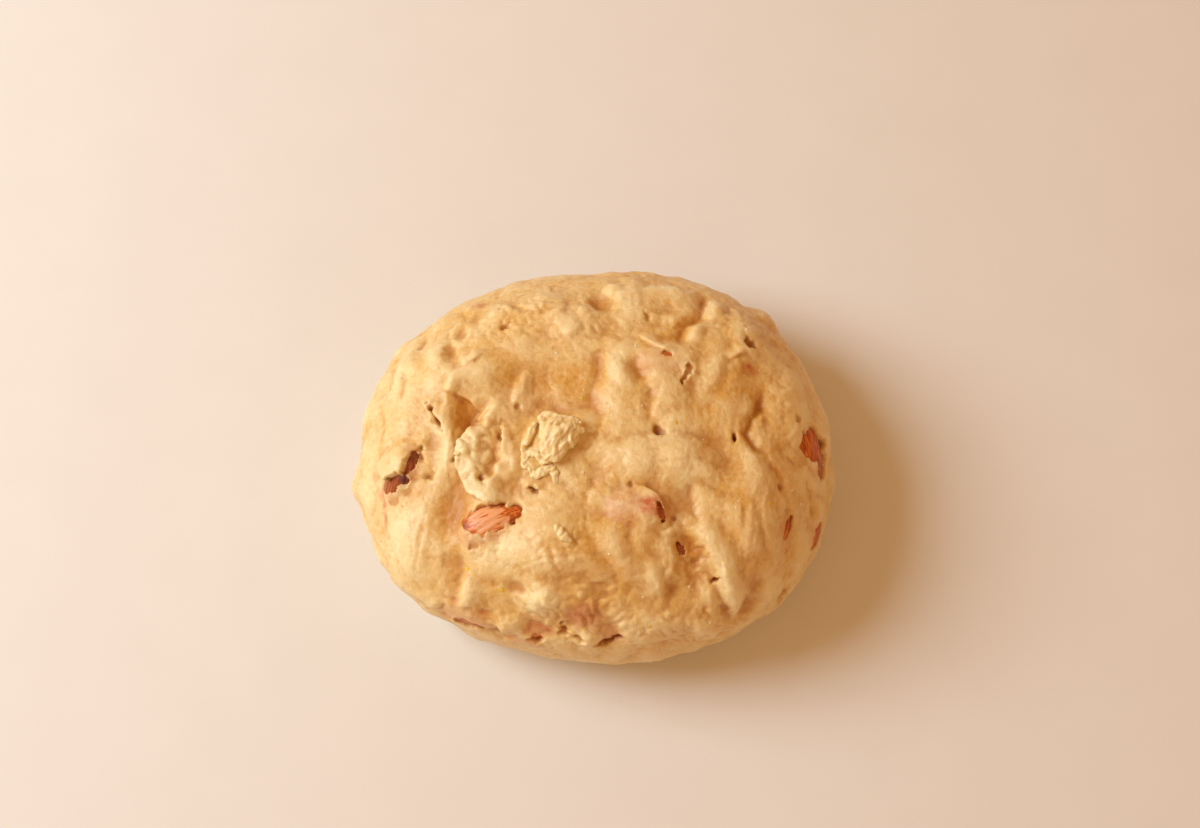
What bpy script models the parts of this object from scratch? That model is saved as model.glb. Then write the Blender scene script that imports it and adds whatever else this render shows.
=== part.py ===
"""Almond cookie dough: one kneaded lump, flat where it rests, with whole almonds showing through its skin.

Millimetres are used for every size below, and the meshes are written in metres.
+X is to the right, +Y to the back, +Z up. The lump rests on z = 0 with its middle over the origin.
"""
import math

import bmesh
import bpy
import numpy as np
from mathutils import Matrix, Vector, noise

MM = 0.001

# The lump: a cushion-shaped body that sags a little under its own weight
# Radii of the outline seen from above, every 30 degrees from +X
LUMP_RADII = (80.0, 80.1, 77.2, 70.9, 74.8, 80.2, 80.9, 76.2, 67.7, 65.3, 69.5, 77.9)
LUMP_HEIGHT = 59.0
BELLY_HEIGHT = 21.0      # where the lump is widest
SAG = 1.75               # how much lower than the rest plane the underside would reach
CROWN_POWER = 2.3        # 2 is an ellipse, more is a flatter top
BASE_SOFTNESS = 3.0      # rounds the edge of the flat base
CALM_HEIGHT = 9.0        # below this the relief fades out, so that the base stays flat
SPHERE_SUBDIVISIONS = 7
LUMP_TRIANGLES = 7200

# The relief. A place is (x, y) on the skin, seen from above
# Swells and dents: x, y, half length, half width, turn in degrees, height
SWELLS = {
    # large masses
    "back_left": (-47, 27, 38, 24, 30, 3.0),
    "back_middle": (-12, 46, 32, 14, 0, 2.0),
    "back_right": (46, 36, 27, 24, 0, 2.5),
    "front_left": (-59, -40, 32, 22, -60, 2.0),
    "front_middle": (-8, -38, 48, 24, 0, 2.4),
    "right_lobe": (48, -30, 48, 23, 80, 3.6),
    "middle": (17, -7, 38, 14, -10, 1.6),
    "pocket": (-42, 11, 12, 9, 80, -6.0),
    # flap
    "flap_strip": (-40.5, -5, 5.5, 13, 6, 0.9),
    "flap_roll": (-34.5, -19, 9, 3.4, -28, 1.3),
    "flap_plateau": (-29, -7, 5.5, 9, 0, 0.8),
    "flap_top": (-32, 10, 9, 6, 0, 0.9),
    "tuft_rise": (-14, -1, 11, 12, 0, 1.6),
    "flap_lump_a": (-40.2, 9, 2.6, 3.0, 0, 0.9),
    "flap_lump_b": (-41.4, 3.5, 2.2, 2.8, 20, 1.1),
    "flap_lump_c": (-42.4, -3.5, 2.4, 3.2, 0, 1.0),
    "flap_lump_d": (-38.4, -1, 2.0, 3.4, -10, 0.9),
    "flap_lump_e": (-36, 6, 2.0, 2.8, 15, 0.9),
    "flap_lump_f": (-39.6, -9, 2.8, 2.2, 0, 0.8),
    "flap_lump_g": (-29.4, -12, 3.4, 2.6, 20, 0.8),
    "flap_lump_h": (-27.5, -2.5, 2.2, 3.2, 0, 0.8),
    "flap_lump_i": (-32.2, 12, 3.2, 2.2, 0, 0.7),
    # back left
    "lobe_back_left": (-63, 30, 8.6, 18, 0, 1.6),
    "pillow_back_left": (-53, 27, 9.2, 14, 0, 1.5),
    "pillow_left": (-38, 24, 13, 9.2, 0, 1.6),
    "pillow_back": (-33, 47, 8.6, 7.6, 0, 1.5),
    "brow": (-44, 21, 14, 6.5, -8, 1.2),
    "dent_left_a": (-45, 40, 3.8, 5.9, 0, -2.0),
    "dent_left_c": (-40, 46, 7.6, 5.4, 0, -0.8),
    "notch_back_left": (-60, 48, 8.0, 6.0, 0, -2.0),
    # left
    "column_left": (-65, 6, 12, 22, 0, 2.2),
    "lobe_end": (-64, -5, 9.7, 9.7, 0, 2.2),
    "strap": (-49, 0, 5.4, 24, -4, 1.4),
    "pocket_floor": (-43, 12, 7.6, 5.4, 0, 0.8),
    # back
    "knob_back_a": (-17, 51, 11, 13, 0, 1.8),
    "knob_back_b": (12, 51, 13, 14, 0, 2.2),
    "knob_back_c": (-7, 42, 12, 8.6, 0, 1.2),
    "crest_back_low": (1, 34, 7.6, 4.9, 0, 0.8),
    "ridge_back_a": (7, 23, 7.5, 18, 0, 1.7),
    "ridge_back_b": (24, 12, 9.7, 11, 0, 1.0),
    "bump_almond_back": (25, 26, 16, 12, -10, 2.6),
    "dent_back": (2, 51, 7, 6.5, 0, -2.6),
    "dip_broad": (-14, 17, 27, 18, 0, -2.6),
    "dip_broad_low": (-9, 11, 18, 7.6, 0, -1.4),
    "dent_beside_bump": (14, 24, 6.5, 6.5, 0, -1.6),
    # back right
    "cap_back": (26, 55, 12, 7.6, 0, 2.2),
    "knob_right_b": (39, 49, 5.4, 7.6, 0, 1.8),
    "knob_right_c": (48, 39, 7.6, 11, 0, 1.8),
    "knob_right_d": (57, 53, 9.0, 9.0, 0, 2.8),
    "mass_back_right": (46, 13, 12, 16, 0, 1.6),
    "lobe_far_right": (64, 16, 14, 22, 20, 2.0),
    "far_right": (76, 10, 10, 16, 0, 1.8),
    "dent_far_right": (60, 38, 7.6, 13, 30, -1.2),
    # front left
    "hill_left": (-58, -26, 16, 22, 0, 2.4),
    "hill_low_left": (-60, -40, 18, 16, -40, 1.6),
    "bump_low_left": (-41, -48, 6.5, 9.7, 0, 1.2),
    "dip_flap_a": (-47, -23, 8.6, 16, 0, -3.2),
    # middle
    "plateau": (20, -7, 24, 12, -8, 2.0),
    "middle_bump": (14, -24, 13, 8.1, -12, 2.6),
    "slope_front": (-12, -40, 32, 16, 0, 1.6),
    "bump_middle_left": (-18, -29, 16, 13, 0, 1.4),
    "dent_middle": (1, -11, 5.9, 8.6, 0, -1.0),
    # front
    "knuckle": (-18, -51, 11, 9.2, 0, 2.8),
    "bump_front_a": (-2, -62, 6.5, 4.9, 0, 1.4),
    "bump_front_b": (17, -59, 16, 13, 0, 1.8),
    "bump_front_c": (-7, -52, 8.6, 5.4, 0, 1.0),
    "bump_front_d": (-29, -57, 8.6, 5.4, 20, 1.6),
    "knob_front_right": (37, -57, 8.6, 7.6, 0, 1.8),
    "dent_knuckle": (-20, -59, 7.6, 5.4, 0, -2.2),
    "dent_front_a": (5, -61, 5.9, 8.6, 0, -2.0),
    "dent_front_e": (25, -48, 5.4, 5.4, 0, -1.4),
    # right
    "ridge_right": (30, -5, 12, 16, 20, 2.0),
    "ridge_right_middle": (35, -26, 6.5, 18, -8, 0.8),
    "ridge_right_low": (41, -45, 8.5, 21, 14, 3.0),
    "flank_right": (51, -20, 14, 25, 0, 1.4),
    "bump_right_a": (57, -45, 7.0, 11, -20, 1.4),
    "bump_right_b": (66, -30, 6.5, 18, 0, 1.8),
    "bump_right_c": (69, -13, 7.6, 9.7, 0, 1.4),
    "dent_right_a": (50, -48, 5.4, 15, -20, -2.0),
    "dent_right_c": (45, -11, 7.6, 8.6, 0, -0.8),
    "dent_right_top": (71, 1, 7.6, 14, 15, -1.6),
    "cleft_floor": (30, -40, 6.5, 16, 20, -3.0),
}
# Creases: depth, half width, points
CREASES = {
    "groove_back_left": (1.6, 3.0, ((-58, 43), (-59, 39), (-60, 35))),
    "groove_left_a": (1.6, 3.0, ((-64, 28), (-63, 22), (-64, 16))),
    "valley_back": (2.2, 5.0, ((0, 33), (1, 25), (-2, 17), (-2, 10))),
    "furrow_back": (1.4, 4.0, ((18, 18), (17, 12), (17, 4))),
    "furrow_back_right": (3.2, 4.5, ((36, 58), (36, 49), (34, 45), (30, 42), (28, 38), (27, 33))),
    "fold_right": (3.2, 3.5, ((55, 21), (54, 14), (51, 9), (49, 3), (52, -2), (58, -4))),
    "valley": (1.6, 6.0, ((-4, 3), (7, -1), (20, 2), (34, 1), (45, -1))),
    "furrow_flap": (2.0, 5.0, ((-39, 14), (-43, 4), (-46, -3))),
    "cleft": (4.2, 4.8,
              ((26, -28), (29, -32), (33, -36), (35.5, -40), (37.5, -44.5), (40.5, -50), (42.5, -56))),
    "cleft_side": (0.9, 4.0, ((29.5, -13), (30.5, -20), (32, -27), (33.5, -34))),
    "right_side_b": (1.8, 3.0, ((67, -9), (70, -14), (72, -22))),
    "rim_left_a": (1.6, 3.0, ((-79, -10), (-77, -20), (-73, -27), (-66, -36))),
    "dip_down": (2.2, 5.0, ((-45, -33), (-44, -39), (-45, -46), (-46, -50))),
    "flap_valley": (1.8, 3.2, ((-31.5, 4), (-32.5, 0), (-33.5, -4), (-33, -7), (-34.5, -10), (-37, -13))),
}
# Lips: height, overhang, reach inwards, points. The high side is on the left of the way along the points
LIPS = {
    "flap": (2.8, 1.6, 12.0,
             ((-38, 13), (-39, 8), (-41, 3), (-44, -3), (-44, -9), (-42, -14),
              (-40, -17), (-37, -19), (-33, -21.5), (-28, -22.5), (-25, -22))),
    "pocket_brow": (3.2, 1.0, 9.0, ((-50, 18), (-45, 17), (-41, 15), (-38, 11))),
    "left_lobe": (3.4, 1.4, 10.0, ((-71, 0), (-69, -7), (-65, -11), (-63, -9), (-61, -4), (-58, -1))),
    "arc_back": (1.6, 0.6, 5.0, ((14, 38), (18, 34), (22, 31), (26, 30))),
    "almond_brow": (1.6, 0.7, 6.0, ((22, -29), (21, -25), (19, -20), (16, -18), (12, -17))),
    "hood": (1.6, 0.8, 4.0, ((-24, -17), (-22, -16), (-18, -18))),
}
CREASE_SOFTNESS = 0.03   # rounds the bottom of a crease
LIP_DROP = 1.2           # how far out a lip takes to fall off
OVERHANG_REACH = 3.0
# Unevenness everywhere: size and height of the broad waves, and of the rounded folds pushed about by the warp
WAVE_SIZE = 17.0
WAVE_HEIGHT = 1.2
WAVE_ORIGIN = (3.1, 7.7, 1.9)
FOLD_SIZE = 12.0
FOLD_HEIGHT = 1.0
FOLD_WARP = 5.0
WARP_SIZE = 20.4
WARP_SEEDS = (2.0, 12.0, 22.0)
FOLD_SOFTNESS = 0.078
FOLD_ORIGIN = (7.0, 1.0, 4.0)
ROUGH_SIZE = 26.0        # how far apart the smoother and the rougher stretches lie
ROUGH_ORIGIN = (4.0, 8.0, 15.0)

# Scraps: the ragged tuft that stands on the middle of the lump.
# x, y, half length, half width, half height, turn
SCRAPS = (
    (-16, 6, 5.5, 3.2, 2.6, 15),
    (-10, 7, 4.6, 3.4, 2.8, -10),
    (-7, 3, 3.6, 4.0, 2.7, 0),
    (-13, 1, 4.4, 3.4, 2.8, 60),
    (-9, -3, 4.2, 3.0, 2.6, 40),
    (-13, -8, 4.8, 2.6, 2.2, 70),
    (-22, -1, 5.6, 2.2, 1.9, 80),
    (-20, -9, 5.0, 2.4, 1.9, -50),
)
SCRAP_RISE = 0.9         # how far a scrap's middle stands above the skin
SCRAP_ROUGHNESS = 0.8

# Almonds: x, y, heading and pitch of the long axis, roll about it, depth of the middle below the skin
ALMOND_LENGTH = 23.0
ALMOND_WIDTH = 13.0
ALMOND_THICKNESS = 8.2
ALMOND_SEGMENTS = (14, 9)
ALMONDS = {
    "almond_flap": (-34, -28, 25, 0, 0, 2.6),
    "almond_left_slit": (-64, -9, 57, 12, 16, 7.4),
    "almond_right": (72.6, 1.2, -68, 3, -6, 1.9),
    "almond_back_bump": (25, 26, -18, -4, 0, 4.2),
    "almond_middle_bump": (14, -24, -8, 2, -8, 4.6),
    "almond_right_side": (61, -26, 80, 0, 10, 3.6),
    "almond_right_rim": (73, -25, 80, 0, -20, 3.4),
    "almond_front_rim_left": (-42, -53, -20, 0, 10, 3.8),
    "almond_front_rim": (-20, -60, 35, 0, 0, 4.0),
    "almond_front_rim_right": (3, -62, -5, 0, 20, 4.2),
    "almond_cleft": (29.2, -34.4, 65, -70, 0, 9.7),
}
FIT_GAP = 0.35           # clear space between an almond and the dough round it

DOUGH_COLOUR = (0.745, 0.448, 0.182)
ALMOND_COLOUR = (0.330, 0.092, 0.028)


def clear_scene():
    for obj in list(bpy.data.objects):
        bpy.data.objects.remove(obj, do_unlink=True)


def new_collection(name):
    collection = bpy.data.collections.new(name)
    bpy.context.scene.collection.children.link(collection)
    return collection


def new_material(name, colour, roughness):
    material = bpy.data.materials.new(name)
    material.use_nodes = True
    shader = material.node_tree.nodes["Principled BSDF"]
    shader.inputs["Base Color"].default_value = (*colour, 1.0)
    shader.inputs["Roughness"].default_value = roughness
    shader.inputs["Metallic"].default_value = 0.0
    return material


def plan_radius(angle):
    """Radius of the outline seen from above, a smooth closed curve through LUMP_RADII."""
    radii = np.array(LUMP_RADII)
    count = len(radii)
    place = (angle / (2.0 * math.pi) * count) % count
    index = np.floor(place).astype(int)
    part = place - index
    before, here = radii[(index - 1) % count], radii[index % count]
    after, beyond = radii[(index + 1) % count], radii[(index + 2) % count]
    curve = 2.0 * before - 5.0 * here + 4.0 * after - beyond + part * (3.0 * (here - after) + beyond - before)
    return here + 0.5 * part * (after - before + part * curve)


def bare_lump(directions):
    """Places unit directions on the lump before its relief: crowned above the belly, flat below."""
    angle = np.arctan2(directions[:, 1], directions[:, 0])
    level = np.hypot(directions[:, 0], directions[:, 1])
    climb = directions[:, 2]
    power = np.where(climb > 0.0, CROWN_POWER, 2.0)
    reach = (level ** power + np.abs(climb) ** power) ** (-1.0 / power)
    radius = plan_radius(angle) * level * reach
    rise = np.where(climb > 0.0, LUMP_HEIGHT - BELLY_HEIGHT, SAG * BELLY_HEIGHT)
    height = BELLY_HEIGHT + rise * climb * reach
    soft = (height + BASE_SOFTNESS) ** 2 / (4.0 * BASE_SOFTNESS)
    height = np.where(height > BASE_SOFTNESS, height, np.where(height < -BASE_SOFTNESS, 0.0, soft))
    return np.stack((radius * np.cos(angle), radius * np.sin(angle), height), axis=1)


def crown_point(x, y):
    """The point of the bare lump's upper side straight above (x, y)."""
    share = min(math.hypot(x, y) / float(plan_radius(math.atan2(y, x))), 0.995)
    height = BELLY_HEIGHT + (LUMP_HEIGHT - BELLY_HEIGHT) * (1.0 - share ** CROWN_POWER) ** (1.0 / CROWN_POWER)
    return np.array((x, y, height))


def crown_normal(x, y):
    step = 0.5
    along = crown_point(x + step, y) - crown_point(x - step, y)
    across = crown_point(x, y + step) - crown_point(x, y - step)
    normal = np.cross(along, across)
    return normal / np.linalg.norm(normal)


def bump(distance):
    """Smooth hill: 1 in the middle, 0 at distance 1."""
    return np.clip(1.0 - distance ** 2, 0.0, 1.0) ** 2


def smooth_step(values):
    values = np.clip(values, 0.0, 1.0)
    return values * values * (3.0 - 2.0 * values)


def skin_axes(x, y, turn):
    """Two directions along the skin at (x, y), the first turned by the given angle, and the skin's normal."""
    normal = crown_normal(x, y)
    heading = np.array((math.cos(math.radians(turn)), math.sin(math.radians(turn)), 0.0))
    heading = heading - normal * (heading @ normal)
    heading = heading / np.linalg.norm(heading)
    return heading, np.cross(normal, heading), normal


def swell(points, x, y, length, width, turn, height):
    heading, side, normal = skin_axes(x, y, turn)
    offset = points - crown_point(x, y)
    distance = np.sqrt((offset @ heading / length) ** 2 + (offset @ side / width) ** 2
                       + (offset @ normal / max(length, width)) ** 2)
    return height * bump(distance)


def along_route(points, route):
    """Nearest distance to a route on the skin, how far to its left each point lies, the way there, and the
    strength left where the route fades at its ends."""
    nearest = np.full(len(points), 1e9)
    left = np.zeros(len(points))
    side_way = np.zeros((len(points), 3))
    travelled = np.zeros(len(points))
    stops = [crown_point(x, y) for x, y in route]
    total = 0.0
    for start, end in zip(stops[:-1], stops[1:]):
        way = end - start
        length = np.linalg.norm(way)
        way = way / length
        share = np.clip((points - start) @ way, 0.0, length)
        offset = points - start - share[:, None] * way
        distance = np.linalg.norm(offset, axis=1)
        normal = crown_normal(*((start + end) / 2.0)[:2])
        to_left = np.cross(normal, way)
        closer = distance < nearest
        nearest = np.where(closer, distance, nearest)
        left = np.where(closer, np.where(offset @ to_left >= 0.0, distance, -distance), left)
        side_way[closer] = to_left
        travelled = np.where(closer, total + share, travelled)
        total += length
    fade = smooth_step(np.minimum(travelled, total - travelled) / (0.3 * total) + 0.1)
    return nearest, left, side_way, fade


def noise_at(points, size, origin):
    start = Vector(origin)
    return np.array([noise.noise(Vector(point) / size + start) for point in points])


def folds_at(points):
    """Rounded lumps with soft creases between them."""
    push = np.stack([noise_at(points, WARP_SIZE, (seed, 0.0, 0.0)) for seed in WARP_SEEDS], axis=1)
    waves = noise_at(points + push * FOLD_WARP, FOLD_SIZE, FOLD_ORIGIN)
    return 2.0 * np.sqrt(waves ** 2 + FOLD_SOFTNESS ** 2) - 0.5


def relief(points, normals):
    """Moves points of the bare lump to the finished skin."""
    lift = np.zeros(len(points))
    slide = np.zeros((len(points), 3))
    for shape in SWELLS.values():
        lift += swell(points, *shape)
    for depth, width, route in CREASES.values():
        nearest, _, _, fade = along_route(points, route)
        across = np.sqrt((nearest / width) ** 2 + CREASE_SOFTNESS)
        lift -= depth * fade * np.clip(1.0 - across, 0.0, 1.0) ** 2
    for height, overhang, reach, route in LIPS.values():
        nearest, left, to_left, fade = along_route(points, route)
        edge = np.where(left > 0.0, bump(left / reach), bump(left / LIP_DROP)) * fade
        edge = edge * np.sqrt(bump(np.clip(nearest / reach, 0.0, 1.0)))
        lift += height * edge
        slide -= to_left * (overhang * edge * bump(left / OVERHANG_REACH))[:, None]
    rough = 0.9 + 0.5 * noise_at(points, ROUGH_SIZE, ROUGH_ORIGIN)
    lift += WAVE_HEIGHT * noise_at(points, WAVE_SIZE, WAVE_ORIGIN)
    lift += FOLD_HEIGHT * rough * folds_at(points)
    calm = smooth_step((points[:, 2] - 1.0) / CALM_HEIGHT)
    moved = points + (normals * lift[:, None] + slide) * calm[:, None]
    moved[:, 2] = np.where(points[:, 2] <= 0.0, 0.0, np.maximum(moved[:, 2], 0.0))
    return moved


def finished_skin(x, y):
    """The finished skin's point at (x, y) and the bare lump's normal there."""
    normal = crown_normal(x, y)
    point = relief(crown_point(x, y)[None, :], normal[None, :])[0]
    return point, normal


def read_points(mesh, name, attribute):
    values = np.empty(len(mesh.vertices) * 3)
    getattr(mesh, name).foreach_get(attribute, values)
    return values.reshape(-1, 3)


def write_points(mesh, points):
    mesh.vertices.foreach_set("co", points.ravel())
    mesh.update()


def make_lump(collection, material):
    mesh = bpy.data.meshes.new("dough")
    lump = bpy.data.objects.new("dough", mesh)
    collection.objects.link(lump)
    shape = bmesh.new()
    bmesh.ops.create_icosphere(shape, subdivisions=SPHERE_SUBDIVISIONS, radius=1.0)
    shape.to_mesh(mesh)
    shape.free()
    points = bare_lump(read_points(mesh, "vertices", "co"))
    write_points(mesh, points)
    points = relief(points, read_points(mesh, "vertex_normals", "vector"))
    write_points(mesh, points * MM)
    mesh.materials.append(material)
    thin = lump.modifiers.new("Thin", "DECIMATE")
    thin.ratio = LUMP_TRIANGLES / len(mesh.polygons)
    return lump


def make_scraps():
    """The tuft's scraps, each a rough pebble pressed on the skin."""
    collection = new_collection("Scraps")
    for number, (x, y, length, width, height, turn) in enumerate(SCRAPS):
        point, _ = finished_skin(x, y)
        heading, side, normal = skin_axes(x, y, turn)
        shape = bmesh.new()
        bmesh.ops.create_icosphere(shape, subdivisions=2, radius=1.0)
        for vertex in shape.verts:
            ragged = 1.0 + SCRAP_ROUGHNESS * noise.noise(vertex.co * 1.3 + Vector((number, 0.0, 0.0)))
            local = vertex.co * ragged
            middle = point + normal * SCRAP_RISE
            vertex.co = Vector((middle + heading * (local.x * length) + side * (local.y * width)
                                + normal * (local.z * height)) * MM)
        mesh = bpy.data.meshes.new(f"scrap_{number + 1}")
        shape.to_mesh(mesh)
        shape.free()
        collection.objects.link(bpy.data.objects.new(mesh.name, mesh))
    return collection


def apply_modifiers(obj):
    evaluated = obj.evaluated_get(bpy.context.evaluated_depsgraph_get())
    mesh = bpy.data.meshes.new_from_object(evaluated)
    obj.modifiers.clear()
    old = obj.data
    obj.data = mesh
    bpy.data.meshes.remove(old)


def keep_outer_shell(mesh):
    """Removes the small sealed hollows that the fusing leaves between scraps."""
    shape = bmesh.new()
    shape.from_mesh(mesh)
    unseen = set(shape.verts)
    shells = []
    while unseen:
        shell = {unseen.pop()}
        edge_of_shell = set(shell)
        while edge_of_shell:
            linked = {edge.other_vert(vertex) for vertex in edge_of_shell for edge in vertex.link_edges}
            edge_of_shell = linked - shell
            shell |= edge_of_shell
        unseen -= shell
        shells.append(shell)
    shells.sort(key=len)
    for shell in shells[:-1]:
        bmesh.ops.delete(shape, geom=list(shell), context="VERTS")
    shape.to_mesh(mesh)
    shape.free()


def fuse_scraps(lump):
    scraps = make_scraps()
    join = lump.modifiers.new("Fuse scraps", "BOOLEAN")
    join.operation = "UNION"
    join.operand_type = "COLLECTION"
    join.collection = scraps
    join.solver = "EXACT"
    apply_modifiers(lump)
    keep_outer_shell(lump.data)
    for scrap in list(scraps.objects):
        bpy.data.objects.remove(scrap, do_unlink=True)
    bpy.data.collections.remove(scraps)


def kernel_mesh(name, grow):
    """An almond along X, blunt at -X and pointed at +X, larger all round by grow."""
    shape = bmesh.new()
    around, lengthwise = ALMOND_SEGMENTS
    bmesh.ops.create_uvsphere(shape, u_segments=around, v_segments=lengthwise, radius=1.0,
                              matrix=Matrix.Rotation(math.pi / 2.0, 4, "Y"))
    half = Vector((ALMOND_LENGTH / 2.0 + grow, ALMOND_WIDTH / 2.0 + grow, ALMOND_THICKNESS / 2.0 + grow))
    for vertex in shape.verts:
        taper = 1.0 - 0.30 * vertex.co.x - 0.10 * vertex.co.x ** 2
        flat = 1.0 - 0.10 * vertex.co.y ** 2
        vertex.co = Vector((vertex.co.x * half.x, vertex.co.y * half.y * taper,
                            vertex.co.z * half.z * (0.5 + 0.5 * taper) * flat)) * MM
    mesh = bpy.data.meshes.new(name)
    shape.to_mesh(mesh)
    shape.free()
    mesh.shade_smooth()
    return mesh


def almond_matrix(x, y, heading, pitch, roll, sink):
    point, _ = finished_skin(x, y)
    along, side, normal = skin_axes(x, y, heading)
    middle = Vector((point - normal * sink) * MM)
    turned = Matrix((along, side, normal)).transposed().to_4x4()
    tilt = Matrix.Rotation(math.radians(-pitch), 4, "Y") @ Matrix.Rotation(math.radians(roll), 4, "X")
    return Matrix.Translation(middle) @ turned @ tilt


def make_almonds(collection, cutters, material):
    kernel = kernel_mesh("almond", 0.0)
    kernel.materials.append(material)
    pocket = kernel_mesh("almond_pocket", FIT_GAP)
    for name, place in ALMONDS.items():
        matrix = almond_matrix(*place)
        almond = bpy.data.objects.new(name, kernel.copy())
        almond.data.name = name
        almond.matrix_world = matrix
        collection.objects.link(almond)
        cutter = bpy.data.objects.new(f"{name}_pocket", pocket)
        cutter.matrix_world = matrix
        cutter.display_type = "WIRE"
        cutter.hide_render = True
        cutters.objects.link(cutter)
    bpy.data.meshes.remove(kernel)


def cut_pockets(lump, cutters):
    cut = lump.modifiers.new("Almond pockets", "BOOLEAN")
    cut.operation = "DIFFERENCE"
    cut.operand_type = "COLLECTION"
    cut.collection = cutters
    cut.solver = "EXACT"


def centre_over_origin(lump, others):
    """Moves everything sideways so that the lump's middle, seen from above, is over the origin."""
    points = read_points(lump.data, "vertices", "co")
    middle = (points.min(axis=0) + points.max(axis=0)) / 2.0
    shift = Matrix.Translation((-middle[0], -middle[1], 0.0))
    lump.data.transform(shift)
    for obj in others:
        obj.matrix_world = shift @ obj.matrix_world


def main():
    clear_scene()
    parts = new_collection("AlmondCookieDough")
    cutters = new_collection("Cutters")
    dough_material = new_material("Dough", DOUGH_COLOUR, 0.55)
    almond_material = new_material("Almond skin", ALMOND_COLOUR, 0.6)
    lump = make_lump(parts, dough_material)
    fuse_scraps(lump)
    make_almonds(parts, cutters, almond_material)
    almonds = [obj for obj in parts.objects if obj != lump]
    centre_over_origin(lump, almonds + list(cutters.objects))
    cut_pockets(lump, cutters)
    lump.data.shade_smooth()


main()
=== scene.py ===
import math
import random

import bpy
import numpy as np
from mathutils import Matrix, Vector, noise
from mathutils.bvhtree import BVHTree
from mathutils.kdtree import KDTree


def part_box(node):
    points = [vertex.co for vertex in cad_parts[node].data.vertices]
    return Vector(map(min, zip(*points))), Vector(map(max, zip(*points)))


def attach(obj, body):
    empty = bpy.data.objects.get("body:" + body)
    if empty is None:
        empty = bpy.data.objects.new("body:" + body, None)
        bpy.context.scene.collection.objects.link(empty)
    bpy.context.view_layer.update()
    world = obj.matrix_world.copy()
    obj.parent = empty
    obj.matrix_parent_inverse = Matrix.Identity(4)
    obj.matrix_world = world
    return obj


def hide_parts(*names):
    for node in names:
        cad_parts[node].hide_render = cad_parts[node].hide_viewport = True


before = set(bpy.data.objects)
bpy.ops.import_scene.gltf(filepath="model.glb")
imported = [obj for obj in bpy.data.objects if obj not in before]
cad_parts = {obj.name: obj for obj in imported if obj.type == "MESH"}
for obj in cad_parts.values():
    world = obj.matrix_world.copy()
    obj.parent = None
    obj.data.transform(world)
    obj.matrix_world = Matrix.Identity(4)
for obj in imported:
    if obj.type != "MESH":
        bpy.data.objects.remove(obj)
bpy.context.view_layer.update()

mm = 0.001

# Raw almond cookie dough: a kneaded lump with whole almonds under and in its skin.
# Places on the lump are (x, y) in mm seen from above, before the lump is centred over the origin.

lump = {
    # outline seen from above, every 30 degrees from +X
    "radii": (80.0, 80.1, 77.2, 70.9, 74.8, 80.2, 80.9, 76.2, 67.7, 65.3, 69.5, 77.9),
    "height": 59.0,
    "bellyHeight": 21.0,     # where the lump is widest
    "sag": 1.75,             # how far below its belly the lump would reach without a floor
    "crownPower": 2.3,       # 2 is a round crown, more is flatter with a fuller shoulder
    "baseSoftness": 3.0,
    "calmHeight": 9.0,       # the relief fades out below this
    "noiseOrigin": (3.1, 7.7, 1.9),
    "subdivisions": 9,
    "topDensity": 0.35,      # moves the ball's points up to the crown
    "voxel": 0.5,
    "triangles": 194000,
}

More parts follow.
